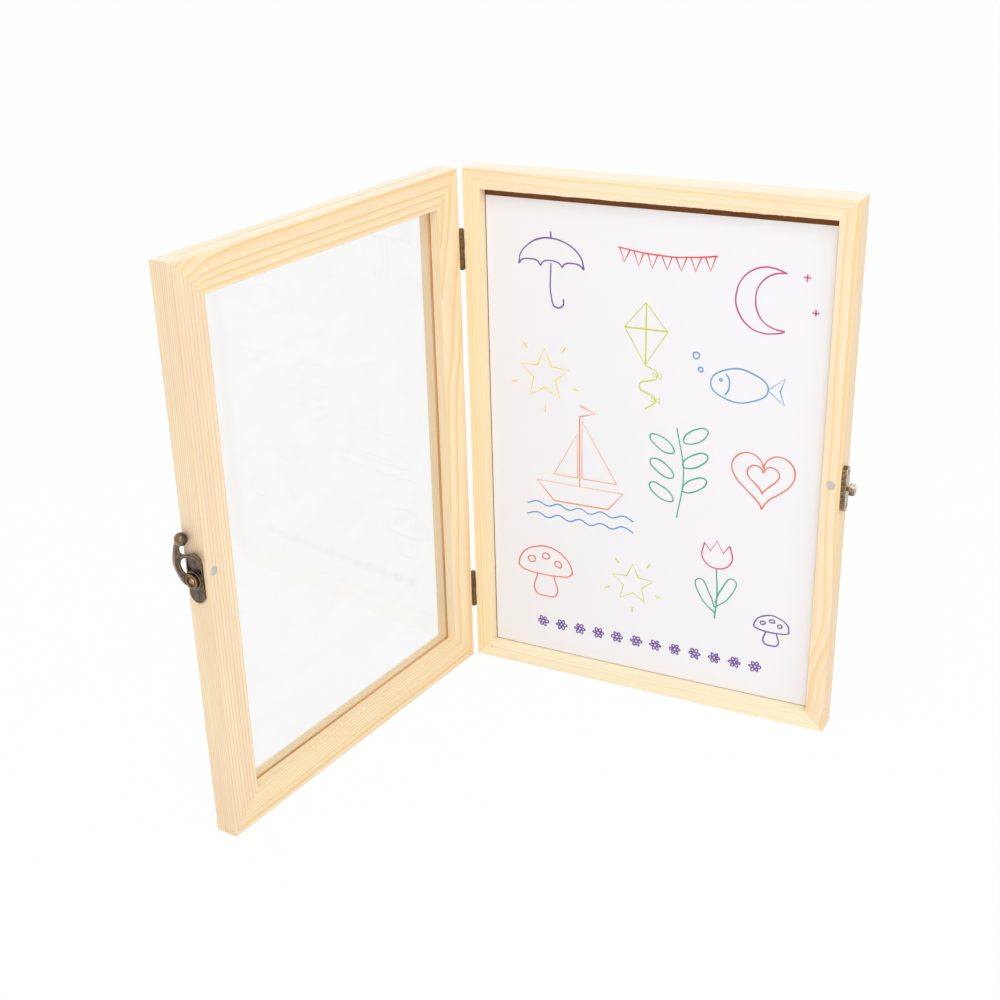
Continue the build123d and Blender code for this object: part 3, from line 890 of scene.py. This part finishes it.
@dataclass(frozen=True)
class Stroke:
    """One drawn line through points, in the motif's own size about its own middle."""

    ink: Ink
    points: Line
    closed: bool = False
    straight: bool = False

    def placed(self, x: float, z: float, size: float) -> "Stroke":
        """The line at its place on the sheet, in millimetres from the lower left corner."""
        return replace(self, points=tuple((x + size * left, z + size * up) for left, up in self.points))


def drawn(ink: Ink, *lines: Line, closed: bool = False, straight: bool = False) -> list[Stroke]:
    """Strokes of one kind, each through its own points."""
    return [Stroke(ink, points, closed, straight) for points in lines]


def polar(reach: float, degrees: float) -> tuple[float, float]:
    """Place at a distance and an angle from the middle."""
    return reach * math.cos(math.radians(degrees)), reach * math.sin(math.radians(degrees))


def oval(x: float, z: float, wide: float, high: float, start: float = 0.0, end: float = 360.0,
         steps: int = 14, tilt: float = 0.0) -> Line:
    """Points on part of an oval.

    Args:
        x: Middle across.
        z: Middle up.
        wide: Half width.
        high: Half height.
        start: First angle in degrees.
        end: Last angle in degrees.
        steps: Number of points.
        tilt: Turn of the oval in degrees.

    Returns:
        The points, without a repeat of the first one where the oval is whole.
    """
    count = steps if abs(end - start) >= 360 else steps - 1
    across, rise = polar(1.0, tilt)
    points = []
    for place in range(steps):
        angle = math.radians(start + (end - start) * place / count)
        left, up = wide * math.cos(angle), high * math.sin(angle)
        points.append((x + left * across - up * rise, z + left * rise + up * across))
    return tuple(points)


class Motifs:
    """Simple line motifs such as a child draws."""

    @staticmethod
    def star(ink: Ink) -> list[Stroke]:
        """Five-pointed star with short rays round it."""
        tips = tuple(polar(0.45 if place % 2 else 1.0, 90 + 36 * place) for place in range(10))
        rays = ((polar(1.15, turn), polar(1.4, turn)) for turn in range(54, 360, 72))
        return drawn(ink, tips, closed=True, straight=True) + drawn(ink, *rays, straight=True)

    @staticmethod
    def umbrella(ink: Ink) -> list[Stroke]:
        """Open umbrella with a hooked handle."""
        scallops = (oval(middle, 0, 1 / 3, 0.16, 180, 0, 5) for middle in (-2 / 3, 0, 2 / 3))
        handle = ((0, 0.1), (0, -0.9), (0.12, -1.15), (0.34, -1.1), (0.38, -0.9))
        return drawn(ink, oval(0, 0, 1, 0.8, 0, 180, 9), *scallops, handle, ((0, 0.8), (0, 1)))

    @staticmethod
    def kite(ink: Ink) -> list[Stroke]:
        """Kite with crossed spars and a tail with bows."""
        corners = ((0, 1), (0.7, 0.15), (0, -1), (-0.7, 0.15))
        tail = ((0, -1), (0.4, -1.3), (-0.2, -1.7), (0.35, -2.1), (0, -2.45))
        wide, high = 2.6 / KITE_SIZE, 1.6 / KITE_SIZE
        bows = (((x - wide, z + high), (x + wide, z - high), (x + wide, z + high), (x - wide, z - high))
                for x, z in (tail[1], tail[3]))
        return (drawn(ink, corners, closed=True, straight=True)
                + drawn(ink, tail, corners[::2], corners[1::2])
                + drawn(ink, *bows, closed=True, straight=True))

    @staticmethod
    def tulip(petals: Ink, stem: Ink) -> list[Stroke]:
        """Tulip with two long leaves."""
        cup = ((-0.45, 0.9), (-0.5, 0.3), (0, 0), (0.5, 0.3), (0.45, 0.9))
        crown = (cup[0], (-0.22, 0.6), (0, 1), (0.22, 0.6), cup[4])
        leaf = ((0, -1.5), (0.5, -1), (0.62, -0.3), (0.2, -0.8), (0, -1.3))
        other = tuple((-x, z - 0.2) for x, z in leaf)
        return (drawn(petals, cup) + drawn(petals, crown, straight=True)
                + drawn(stem, ((0, 0), (0.05, -1), (0, -1.9)), leaf, other))

    @staticmethod
    def boat(ink: Ink, sea: Ink) -> list[Stroke]:
        """Sailing boat on two waves."""
        gap, swell = 1.5 / BOAT_SIZE, 1.3 / BOAT_SIZE
        hull, mast = ((-1, 0), (1, 0), (0.66, -0.42), (-0.6, -0.42)), ((0, 0), (0, 1.6))
        sails = ((gap, 0.2), (0.85, 0.2), (gap, 1.5)), ((-gap, 0.2), (-0.6, 0.2), (-gap, 1.2))
        pennant = ((0, 1.6), (0.35, 1.72), (0, 1.84))
        waves = (tuple((0.25 * step - 1.25, depth + (swell if step % 2 else -swell)) for step in range(11))
                 for depth in (-0.55, -0.81))
        return (drawn(ink, hull, closed=True, straight=True) + drawn(ink, mast, straight=True)
                + drawn(ink, *sails, closed=True, straight=True) + drawn(ink, pennant, straight=True)
                + drawn(sea, *waves))

    @staticmethod
    def fish(ink: Ink) -> list[Stroke]:
        """Fish with a tail, a fin and bubbles."""
        body = ((-1, 0), (-0.5, 0.46), (0.25, 0.42), (0.72, 0), (0.25, -0.42), (-0.5, -0.46))
        tail = ((0.7, 0), (1.2, 0.4), (1.05, 0), (1.2, -0.4))
        rounds = (oval(x, z, wide, wide, steps=steps) for x, z, wide, steps in (
            (-0.68, 0.12, 0.035, 6), (-1.3, 0.35, 0.065, 8), (-1.45, 0.75, 0.095, 8)))
        return (drawn(ink, body, closed=True) + drawn(ink, tail, closed=True, straight=True)
                + drawn(ink, oval(-0.62, 0, 0.2, 0.34, -70, 70, 5)) + drawn(ink, *rounds, closed=True))

    @staticmethod
    def heart(ink: Ink) -> list[Stroke]:
        """Plain heart with a smaller one inside."""
        outline = []
        for turn in (2 * math.pi * place / 20 for place in range(20)):
            up = sum(share * math.cos(times * turn) for times, share in enumerate((13, -5, -2, -1), 1))
            outline.append((math.sin(turn) ** 3, up / 16))
        return drawn(ink, outline, tuple((x / 2, z / 2) for x, z in outline), closed=True)

    @staticmethod
    def mushroom(ink: Ink) -> list[Stroke]:
        """Mushroom with a dotted cap."""
        stem = ((-0.3, -0.2), (-0.38, -0.9), (0, -1.02), (0.38, -0.9), (0.3, -0.2))
        dots = (oval(x, z, 0.13, 0.11, steps=7) for x, z in ((-0.5, 0.3), (0.02, 0.5), (0.48, 0.27)))
        return (drawn(ink, oval(0, 0, 1, 0.85, 0, 180, 9), oval(0, 0, 1, 0.2, 180, 360, 7), stem)
                + drawn(ink, *dots, closed=True))

    @staticmethod
    def sprig(ink: Ink) -> list[Stroke]:
        """Leafy sprig."""
        leaves = (oval(side * 0.36, 0.27 * place - 0.48, 0.3, 0.13, steps=10, tilt=side * 32)
                  for place, side in enumerate((-1, 1) * 3))
        return drawn(ink, ((0, -1), (0.12, 0), (-0.05, 1))) + drawn(ink, *leaves, closed=True)

    @staticmethod
    def moon(ink: Ink) -> list[Stroke]:
        """Crescent moon with two small stars."""
        arm = 2 / MOON_SIZE
        crosses = (((x - wide, z - high), (x + wide, z + high)) for wide, high in ((arm, 0), (0, arm))
                   for x, z in ((1.1, 0.8), (1.4, -0.2)))
        outline = oval(0, 0, 1, 1, 60, 300, 12) + oval(0.42, 0, 0.82, 0.87, 275, 85, 9)
        return drawn(ink, outline, closed=True) + drawn(ink, *crosses, straight=True)

    @staticmethod
    def bunting(ink: Ink, flags: int = 7) -> list[Stroke]:
        """String of small flags that sags in the middle."""
        cord = tuple((place / flags, -0.045 * (1 - (2 * place / flags - 1) ** 2))
                     for place in range(flags + 1))
        long = 0.95 / flags
        cloths = (((0.86 * left + 0.14 * right, first), ((left + right) / 2, (first + second) / 2 - long),
                   (0.14 * left + 0.86 * right, second))
                  for (left, first), (right, second) in zip(cord[:-1], cord[1:]))
        return drawn(ink, cord) + drawn(ink, *cloths, straight=True)

    @staticmethod
    def daisies(ink: Ink) -> list[Stroke]:
        """Row of small daisies, in millimetres."""
        lines = []
        for middle in range(0, 156, 13):
            lines.append(oval(middle, 0, 1.1, 1.1, steps=7))
            for turn in range(0, 360, 60):
                x, z = polar(2.4, turn)
                lines.append(oval(middle + x, z, 1.25, 0.8, steps=7, tilt=turn))
        return drawn(ink, *lines, closed=True)


@dataclass
class Artwork:
    """A4 sheet that stands on the base's bottom rail, with a drawing of its own."""

    width: float = 210.0
    height: float = 297.0
    thickness: float = 0.3
    left: float = -105.55
    bottom: float = 11.6
    back: float = -1.7
    belly: float = 0.55
    line_width: float = 1.1
    line_rise: float = 0.05
    unsteady: float = 0.25

    def lift(self, across: float, up: float) -> float:
        """How far the sheet bows forward at a place on it."""
        side = 4 * across * (self.width - across) / self.width ** 2
        rise = min(1.0, 1.4 * up / self.height)
        return self.belly * max(side, 0.0) * (0.25 + 0.75 * math.cos(rise * math.pi / 2) ** 2)

    def build(self) -> None:
        """Build the sheet, bowed forward a little near its foot, and the drawing."""
        middle = (self.left + self.width / 2, self.back, self.bottom + self.height / 2)
        piece = Bench.upright_grid("drawing_sheet", (28, 36), self.width, self.height, middle)
        for vertex in piece.data.vertices:
            vertex.co.y -= self.lift(vertex.co.x - self.left, vertex.co.z - self.bottom)
        Bench.modify(piece, "SOLIDIFY", thickness=self.thickness, offset=1.0)
        Bench.smooth(piece, 40)
        Bench.mount(piece)
        dress(piece, finish(DRAWING_PAPER))
        deliver(piece, Body.ARTWORK, Slot.PAPER, "artwork_sheet")
        self.drawing()

    def drawing(self) -> None:
        """Every motif as its own thin raised lines on the sheet, at its place and size."""
        hand = random.Random(11)
        for name, x, z, size, strokes in (
                ("umbrella", 42, 258, 21, Motifs.umbrella(Ink.VIOLET)),
                ("garland", 84, 274, 60, Motifs.bunting(Ink.RED)),
                ("moon", 174, 252, MOON_SIZE, Motifs.moon(Ink.MAGENTA)),
                ("kite", 102, 224, KITE_SIZE, Motifs.kite(Ink.LIME)),
                ("fish", 162, 200, 20, Motifs.fish(Ink.BLUE)),
                ("star", 37, 190, 17, Motifs.star(Ink.YELLOW)),
                ("boat", 60, 120, BOAT_SIZE, Motifs.boat(Ink.ORANGE, Ink.BLUE)),
                ("sprig", 124, 140, 29, Motifs.sprig(Ink.TEAL)),
                ("heart", 176, 146, 19, Motifs.heart(Ink.CORAL)),
                ("tulip", 150, 82, 18, Motifs.tulip(Ink.PINK, Ink.TEAL)),
                ("mushroom", 36, 58, 19, Motifs.mushroom(Ink.CORAL)),
                ("second_star", 96, 60, 14, Motifs.star(Ink.LIME)),
                ("second_mushroom", 186, 48, 11, Motifs.mushroom(Ink.VIOLET)),
                ("daisies", 34, 20, 1, Motifs.daisies(Ink.VIOLET))):
            for ink in sorted({stroke.ink for stroke in strokes}, key=lambda ink: ink.name):
                colour = ink.name.lower()
                lines = [self.line(stroke.placed(x, z, size), hand)
                         for stroke in strokes if stroke.ink is ink]
                piece = Bench.join(f"drawn_{name}_{colour}", lines)
                dress(piece, finish(crayon(f"crayon_{colour}", srgb(*ink.value))))
                deliver(piece, Body.ARTWORK, Slot.PAPER)

    def line(self, stroke: Stroke, hand: random.Random) -> Piece:
        """One line as a flat bead that follows the sheet.

        Args:
            stroke: Line to draw.
            hand: Source of the small unsteadiness of the hand.

        Returns:
            Closed mesh, mounted on the sheet.
        """
        shape = bpy.data.curves.new("line", "CURVE")
        shape.dimensions = "3D"
        shape.resolution_u = 6
        shape.bevel_depth = self.line_width / 2
        shape.bevel_resolution = 1
        shape.use_fill_caps = True
        spline = shape.splines.new("BEZIER")
        spline.bezier_points.add(len(stroke.points) - 1)
        for knot, (across, up) in zip(spline.bezier_points, stroke.points):
            across += hand.uniform(-self.unsteady, self.unsteady)
            knot.co = (across, 0, up + hand.uniform(-self.unsteady, self.unsteady))
            knot.handle_left_type = knot.handle_right_type = "VECTOR" if stroke.straight else "AUTO"
            knot.radius = hand.uniform(0.8, 1.1)
        spline.use_cyclic_u = stroke.closed
        piece = bpy.data.objects.new("line", shape)
        bpy.context.scene.collection.objects.link(piece)
        Bench.take(piece)
        bpy.ops.object.convert(target="MESH")
        piece = bpy.context.active_object
        for vertex in piece.data.vertices:
            across, deep, up = vertex.co
            rise = self.line_rise * deep / (self.line_width / 2)
            vertex.co = (self.left + across, self.back - self.thickness - self.lift(across, up) + rise,
                         self.bottom + up)
        Bench.face_outwards(piece)
        Bench.smooth(piece, 60)
        Bench.mount(piece)
        return piece


# ---- Studio ----

@dataclass
class Studio:
    """White floor, even soft light and the camera."""

    camera_place: Point = (0.2985, -0.7850, 0.5087)
    looks_along: Point = (-0.41455, 0.81204, -0.41078)
    upright: Point = (-0.16363, 0.37753, 0.91143)
    lens: float = 54.28
    ambient: float = 0.75
    floor_glow: float = 0.96
    aim: Point = (-0.03, -0.08, 0.15)

    def build(self) -> None:
        """Build the whole set."""
        self.camera()
        self.world()
        self.floor()
        self.lamp("key_lamp", (0.5, -0.9, 1.5), 0.6, 5.0)
        self.lamp("side_lamp", (1.3, -0.3, 0.6), 0.8, 1.4)
        self.lamp("top_lamp", (-0.3, 0.2, 1.6), 1.0, 3.0)
        self.lamp("front_lamp", (0.35, -1.35, 0.3), 0.9, 2.95)
        bpy.context.scene.view_settings.view_transform = "Standard"

    def camera(self) -> None:
        """Camera at the photograph's viewing angle."""
        lens = bpy.data.cameras.new("view")
        lens.lens = self.lens
        lens.sensor_width = 36.0
        lens.clip_start = 0.01
        eye = bpy.data.objects.new("view", lens)
        back = -Vector(self.looks_along).normalized()
        right = Vector(self.upright).cross(back).normalized()
        eye.matrix_world = axes(right, back.cross(right), back, self.camera_place)
        bpy.context.scene.collection.objects.link(eye)
        bpy.context.scene.camera = eye

    @staticmethod
    def seen_share(nodes: Nodes) -> Socket:
        """One for rays that show the background itself: camera, glossy and transmission rays."""
        path = nodes.tree.nodes.new("ShaderNodeLightPath")
        total = path.outputs["Is Camera Ray"]
        for key in ("Is Glossy Ray", "Is Transmission Ray"):
            total = nodes.maths("MAXIMUM", total, path.outputs[key])
        return total

    def world(self) -> None:
        """White surroundings that light the object evenly."""
        world = bpy.data.worlds.new("studio")
        bpy.context.scene.world = world
        world.use_nodes = True
        nodes = Nodes(world.node_tree)
        background = nodes.tree.nodes["Background"]
        background.inputs["Color"].default_value = (1, 1, 1, 1)
        strength = nodes.between(self.seen_share(nodes), 0.0, 1.0, self.ambient, 1.0)
        nodes.fill(background.inputs["Strength"], strength)

    def floor(self) -> None:
        """Pale floor that shows white and keeps a faint shadow."""
        bpy.ops.object.select_all(action="DESELECT")
        bpy.ops.mesh.primitive_plane_add(size=12, location=(0, 0, -0.0002))
        floor = Bench.named("studio_floor")
        bpy.ops.object.transform_apply(location=True, rotation=True, scale=True)
        recipe = Recipe("studio_white")
        recipe.set(Base_Color=srgb(240, 240, 240), Roughness=0.9, Specular_IOR_Level=0.0)
        glow = recipe.add("Emission", "Emission", {"Strength": 1.0})
        share = recipe.times(self.seen_share(recipe), self.floor_glow)
        blend = recipe.add("MixShader", "Shader", {0: share, 1: recipe.shader.outputs["BSDF"], 2: glow})
        recipe.fill(recipe.output.inputs["Surface"], blend)
        dress(floor, recipe.material)

    def lamp(self, name: str, place: Point, size: float, power: float) -> None:
        """Soft square lamp that points at the frame."""
        light = bpy.data.lights.new(name, "AREA")
        light.size = size
        light.energy = power
        lamp = bpy.data.objects.new(name, light)
        turn = (Vector(self.aim) - Vector(place)).to_track_quat("-Z", "Y")
        lamp.matrix_world = Matrix.Translation(place) @ turn.to_matrix().to_4x4()
        bpy.context.scene.collection.objects.link(lamp)


# ---- Hardware ----

@dataclass
class Hardware:
    """Cast, pressed and turned metal parts, the back panel and the clear pane.

    The ball's and the neck's shares are places in the hook's own frame, counted in distances from its
    pivot to the post. Other lengths are millimetres.
    """

    pivot_to_post: float = 11.386
    hook_base: float = 3.15
    hook_thickness: float = 1.2
    eye_radius: float = 4.1
    ball_share: Point = (-0.345, 2.035, 4.45 / pivot_to_post)
    ball_radius: float = 3.4
    ball_shift: Point = (0.25, 0.07, 0.0)
    ball_growth: float = 1.06
    neck_share: tuple[float, float] = (-0.66, 1.46)
    neck_fill: Point = (1.2, 0.0, 0.0)
    hook_turn: float = 95.0
    face_lean: float = 0.35
    head_reach: float = 4.2
    tuck: float = 0.45
    rim: float = 0.45
    slope: float = 0.42
    pane_bedding: float = 1.25
    pane_rise: float = 0.38

    def build(self) -> None:
        """Build every part of the hinges, magnets, hanger, fastenings and latch."""
        leaf = finish(bronze("bronze_leaf", body=srgb(116, 84, 48), patina=srgb(74, 48, 22),
                             worn=srgb(150, 116, 72)))
        for level in ("upper", "lower"):
            self.cast(f"{level}_hinge_base_leaf", Body.BASE, leaf, 0.2)
            self.cast(f"{level}_hinge_door_leaf", Body.DOOR, leaf, 0.2)
            self.cast(f"{level}_hinge_pin", Body.BASE, leaf, 0.15)
        heads = finish(bronze("bronze_nail", wear=0.7, edges=False, grain=1.6))
        for node, body in (("hinge_base_nails", Body.BASE), ("hinge_door_nails", Body.DOOR),
                           ("strike_nails", Body.BASE), ("latch_plate_nails", Body.DOOR)):
            self.eased(node, body, Slot.BRONZE, heads, 0.06)
        self.latch()
        nickel = finish(MetalFinish("worn_nickel", srgb(224, 214, 206), srgb(204, 194, 186),
                                    srgb(240, 234, 228), (0.35, 0.5), 0.7, 0.03, 0.4, False))
        self.eased("base_magnet", Body.BASE, Slot.NICKEL, nickel, 0.25)
        self.eased("door_magnet", Body.DOOR, Slot.NICKEL, nickel, 0.25)
        zinc = finish(MetalFinish("zinc_plate", srgb(186, 188, 190), srgb(140, 143, 147),
                                  srgb(222, 224, 226), (0.3, 0.5), 0.5, 0.02, 0.5, False))
        for node in ("hanger_plate", "hanger_nails", "back_panel_points"):
            self.eased(node, Body.BASE, Slot.STEEL, zinc, 0.12)
        dress(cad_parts["base_corner_nails"], zinc)
        dress(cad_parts["door_corner_dowels"], finish(BEECH_PEG))
        self.eased("back_panel", Body.BASE, Slot.HARDBOARD, finish(HARDBOARD), 0.2)
        self.pane()

    def latch(self) -> None:
        """Build the plate, rivet and hook on the door, and the strike with its post on the base."""
        frame = self.hook_frame()
        # Axis of the painted shade on the hook and its plate.
        outward = tuple(frame.to_3x3() @ Vector((0, 0, 1)))
        handled = ((tuple(frame @ self.ball_place()), self.ball_radius * 1.1),
                   (tuple(frame @ Vector((0, 0, 4.6))), 2.2))
        plate = finish(bronze("bronze_plate", wear=0.6, grain=0.6, outward=outward))
        hook = finish(bronze("bronze_hook", wear=0.8, grain=0.6, outward=outward, handled=handled))
        warm = {"body": srgb(142, 110, 78), "patina": srgb(78, 56, 38), "worn": srgb(206, 170, 108),
                "wear": 0.8, "grain": 0.5}
        head = (SIZES.half_width + 6.0, SIZES.base_front + SIZES.strike_from_mating,
                SIZES.strike_height + 4.0)
        strike = finish(bronze("bronze_strike", **warm))
        # The post's head takes a pale colour: a painted highlight, and its wear.
        post = finish(bronze("bronze_post", handled=((head, 3.6),), bright=srgb(226, 222, 208), **warm))
        self.cast("latch_plate", Body.DOOR, plate, 0.15, 4)
        self.cast("latch_rivet", Body.DOOR, hook, 0.12)
        self.cast("latch_hook", Body.HOOK, hook, 0.15, 3, self.raise_leaf)
        self.cast("strike_plate", Body.BASE, strike, 0.18)
        self.cast("strike_post", Body.BASE, post, 0.15, 3)

    def pane(self) -> None:
        """Clear pane whose sawn edges are frosted, bedded close in its groove."""
        piece = Bench.node_copy("glazing_pane", "clear_pane")
        back = door_swing() @ Matrix.Translation((0, SIZES.door_mating, 0))
        places = [back.inverted() @ (vertex.co / MM) for vertex in piece.data.vertices]
        middle = sum(place.y for place in places) / len(places)
        for vertex, place in zip(piece.data.vertices, places):
            place.y = middle + (place.y - middle) * self.pane_bedding
            if place.z > SIZES.height / 2:
                place.z += self.pane_rise
            vertex.co = (back @ place) * MM
        Bench.ease(piece, 0.12)
        Bench.smooth(piece, 35)
        piece.data.materials.append(finish(ClearFinish()))
        piece.data.materials.append(finish(SAWN_EDGE))
        widest = max(face.area for face in piece.data.polygons)
        for face in piece.data.polygons:
            face.material_index = 0 if face.area > widest / 2 else 1
        deliver(piece, Body.PANE, Slot.CLEAR, "glazing_pane")

    def hook_frame(self) -> Matrix:
        """Frame of the hook in millimetres: to the mating face, up, and out from the door's side."""
        origin = (SIZES.half_width, SIZES.door_mating - SIZES.latch_from_mating, SIZES.latch_height)
        return door_swing() @ axes((0, 1, 0), (0, 0, 1), (1, 0, 0), origin)

    def ball_place(self) -> Vector:
        """Centre of the ball in the hook's frame."""
        return self.pivot_to_post * Vector(self.ball_share)

    def from_post(self, flat: Vector) -> float:
        """Distance to the nearest place that the post takes as the closed latch turns."""
        start = math.atan2(SIZES.strike_height - SIZES.latch_height, SIZES.latch_from_mating
                           + SIZES.base_front - SIZES.door_mating + SIZES.strike_from_mating)
        angle = min(max(math.atan2(flat.y, flat.x), start), start + math.radians(self.hook_turn))
        return (flat - self.pivot_to_post * Vector((math.cos(angle), math.sin(angle)))).length

    def raise_leaf(self, piece: Piece) -> None:
        """Raise the hook's face to a ridge along its middle, inside a low rim, as on a leaf.

        Args:
            piece: Dense copy of the hook, in metres.
        """
        frame = self.hook_frame()
        into, turn = frame.inverted(), frame.to_3x3()
        inwards_turn = into.to_3x3()
        out = (turn @ Vector((0, 0, 1))) * MM
        vertices = piece.data.vertices
        places = [into @ (vertex.co / MM) for vertex in vertices]
        facing = [(inwards_turn @ vertex.normal).z for vertex in vertices]
        walls = [place for place, up in zip(places, facing) if abs(up) < self.face_lean]
        tree = KDTree(len(walls))
        for index, place in enumerate(walls):
            tree.insert((place.x, place.y, 0), index)
        tree.balance()
        middle = self.ball_place()
        for vertex, place, up in zip(vertices, places, facing):
            if up < self.face_lean or place.z < self.hook_base + 0.6 * self.hook_thickness:
                continue
            clear = min(self.eased_step(place.xy.length, self.eye_radius, 1.2),
                        self.eased_step((place.xy - middle.xy).length, self.ball_radius, 0.8))
            inwards = tree.find((place.x, place.y, 0))[2]
            rise = self.slope * max(0.0, inwards - self.rim) * clear
            under_head = 1 - self.eased_step(self.from_post(place.xy), self.head_reach, 1.2)
            vertex.co += out * min(rise - self.tuck * under_head, rise * (1 - under_head))
        neck = self.pivot_to_post * Vector(self.neck_share)
        for vertex, place in zip(vertices, places):
            share = 1 - self.eased_step((place.xy - middle.xy).length, self.ball_radius + 0.2, 2.4)
            moved = (Vector(self.ball_shift) + (place - middle) * (self.ball_growth - 1)) * share
            moved += Vector(self.neck_fill) * (1 - self.eased_step((place.xy - neck).length, 0.4, 2.4))
            vertex.co += (turn @ moved) * MM

    @staticmethod
    def eased_step(value: float, low: float, run: float) -> float:
        """Smooth step from 0 at a value to 1 a run above it."""
        share = min(1.0, max(0.0, (value - low) / run))
        return share * share * (3 - 2 * share)

    @staticmethod
    def cast(node: str, body: Body, material: Material, grid: float, softening: int = 2,
             sculpt: Optional[Callable[[Piece], None]] = None) -> None:
        """Dense copy of one CAD node, softened as a casting is.

        Args:
            node: CAD node that the copy stands for.
            body: CAD body that it rides on.
            material: Finish of the copy.
            grid: Size of its faces in millimetres.
            softening: Rounds of smoothing.
            sculpt: Shapes the copy further.
        """
        piece = Bench.node_copy(node, f"cast_{node}", whole_faces=False)
        Bench.modify(piece, "REMESH", mode="VOXEL", voxel_size=grid * MM, use_smooth_shade=True)
        Bench.modify(piece, "SMOOTH", factor=0.5, iterations=softening)
        if sculpt:
            sculpt(piece)
            Bench.modify(piece, "SMOOTH", factor=0.4, iterations=1)
        dress(piece, material)
        deliver(piece, body, Slot.BRONZE, node)

    @staticmethod
    def eased(node: str, body: Body, slot: Slot, material: Material, width: float) -> None:
        """Copy of one CAD node, rounded over by a width in millimetres."""
        piece = Bench.node_copy(node, f"eased_{node}")
        Bench.ease(piece, width)
        Bench.smooth(piece, 35)
        dress(piece, material)
        deliver(piece, body, slot, node)


BASE_LOOKS: dict[Member, Look] = {
    Member.HINGE_STILE: {
        "seed": 1.0, "spacing": ((-23, -10), (23, 10)), "side_pitch": 1.8, "contrast": 0.8,
        "sway": ((0, 0.5), (120, 0), (325, -0.6)), "blush_share": 0.35,
        "pale": srgb(255, 238, 200), "line": srgb(250, 214, 150)},
    Member.LATCH_STILE: {
        "seed": 2.0, "spacing": ((-33.8, 9), (35.1, -4)), "side_pitch": -2.2, "breadth": 0.75,
        "sway": ((0, -11), (9, -9.6), (20, -7.8), (34, -7), (42, -5.1), (53, -2), (62, 0.5), (78, 2.6),
                 (110, 1.2), (200, 0), (325, 0.3)),
        "faintest": 0.6, "wander": 0.08, "spots": (Spot(14.0, 11.2, 4.0, 0.5),),
        "pale": srgb(254, 234, 203), "line": srgb(249, 211, 148)},
    Member.TOP_RAIL: {
        "seed": 3.0, "spacing": ((-26, 10), (26, -10)), "side_pitch": 2.6, "contrast": 0.85,
        "sway": ((0, 0), (90, 2.2), (160, 3), (235, 5)), "painted_top_sheen": 0.75,
        "pale": srgb(254, 238, 206), "line": srgb(250, 212, 148)},
    Member.BOTTOM_RAIL: {
        "seed": 4.0, "spacing": ((-27, 10), (27, -10)), "side_pitch": 2.4, "contrast": 0.6,
        "sway": ((0, 0), (80, 1.4), (235, -1.8)), "blush_share": 0.2,
        "spots": (Spot(11.0, 3.4, 0.0, 0.55),),
        "pale": srgb(255, 245, 215), "line": srgb(252, 225, 170)},
}

DOOR_LOOKS: dict[Member, Look] = {
    Member.LATCH_STILE: {
        "seed": 5.0, "side_pitch": 1.4, "contrast": 0.95, "faintest": 0.5, "groove": 16.3,
        "spacing": ((-6, -4), (3.5, 0), (5.8, 1), (8, 2), (10.6, 3), (13, 4), (15.3, 5), (17.8, 6),
                    (20.6, 7)),
        "sway": ((0, 1.2), (90, 0), (325, -0.5)),
        "pale": srgb(251, 231, 197), "line": srgb(235, 194, 134), "blush": srgb(244, 218, 190)},
    Member.HINGE_STILE: {
        "seed": 6.0, "side_pitch": 1.35, "wander": 0.06, "breadth": 0.6, "faintest": 0.7, "groove": 4.0,
        "spacing": ((-26, 0), (-10, 1), (9.5, 2), (16, 3), (30, 4), (38.5, 5), (51, 6), (64, 7)),
        "sway": ((0, -32), (29, -31.5), (45, -30.7), (60, -31.5), (80, -31), (126, -28.2), (150, -27.5),
                 (177, -27), (191, -25.8), (208, -21.6), (227, -17.9), (247, -15.7), (262, -12.8),
                 (279, -9.2), (287, -6.8), (310, -2.4), (325, 0)),
        "pale": srgb(254, 236, 200), "line": srgb(249, 207, 140)},
    Member.TOP_RAIL: {
        "seed": 7.0, "side_pitch": 4.5, "wander": 0.06, "breadth": 0.65, "faintest": 0.6, "groove": 4.55,
        "spacing": ((-60, 11.1), (-9, 6), (1, 5), (8, 4), (12.2, 3), (16.8, 2), (20, 1), (30, -2)),
        "fan": ((0, 2.4), (5, 2), (10, 1.62), (15, 1.45), (20, 1.2), (28, 1.08), (44, 1.03), (100, 1),
                (235, 0.99)),
        "painted_top_sheen": 0.6, "pale": srgb(253, 233, 195), "line": srgb(247, 203, 134)},
    Member.BOTTOM_RAIL: {
        "seed": 8.0, "side_pitch": -1.5, "contrast": 1.1, "faintest": 0.6, "groove": 4.0,
        "spacing": ((-6, -3), (0, 0), (2.2, 1), (4.4, 2), (6.5, 3), (8.7, 4), (10.8, 5), (13.2, 6),
                    (17.6, 7), (20.6, 8), (24, 9)),
        "sway": ((0, 0.6), (110, 0), (235, -0.6)),
        "pale": srgb(254, 238, 200), "line": srgb(243, 196, 128)},
}

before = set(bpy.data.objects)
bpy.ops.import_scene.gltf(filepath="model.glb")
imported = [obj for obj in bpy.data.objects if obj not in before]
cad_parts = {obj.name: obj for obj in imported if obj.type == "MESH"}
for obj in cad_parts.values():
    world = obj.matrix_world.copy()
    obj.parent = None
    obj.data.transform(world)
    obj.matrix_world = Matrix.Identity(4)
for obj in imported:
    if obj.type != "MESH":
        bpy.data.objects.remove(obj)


def main() -> None:
    """Build every sub-assembly."""
    logging.basicConfig(level=logging.INFO, format="%(name)s: %(message)s")
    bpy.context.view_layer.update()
    Studio().build()
    base = WoodFrame(Body.BASE, SIZES.base_border, BASE_LOOKS)
    base.build()
    base.torn_edge()
    WoodFrame(Body.DOOR, SIZES.door_border, DOOR_LOOKS).build()
    Artwork().build()
    Hardware().build()
    bpy.ops.object.select_all(action="DESELECT")


if __name__ == "__main__":
    main()
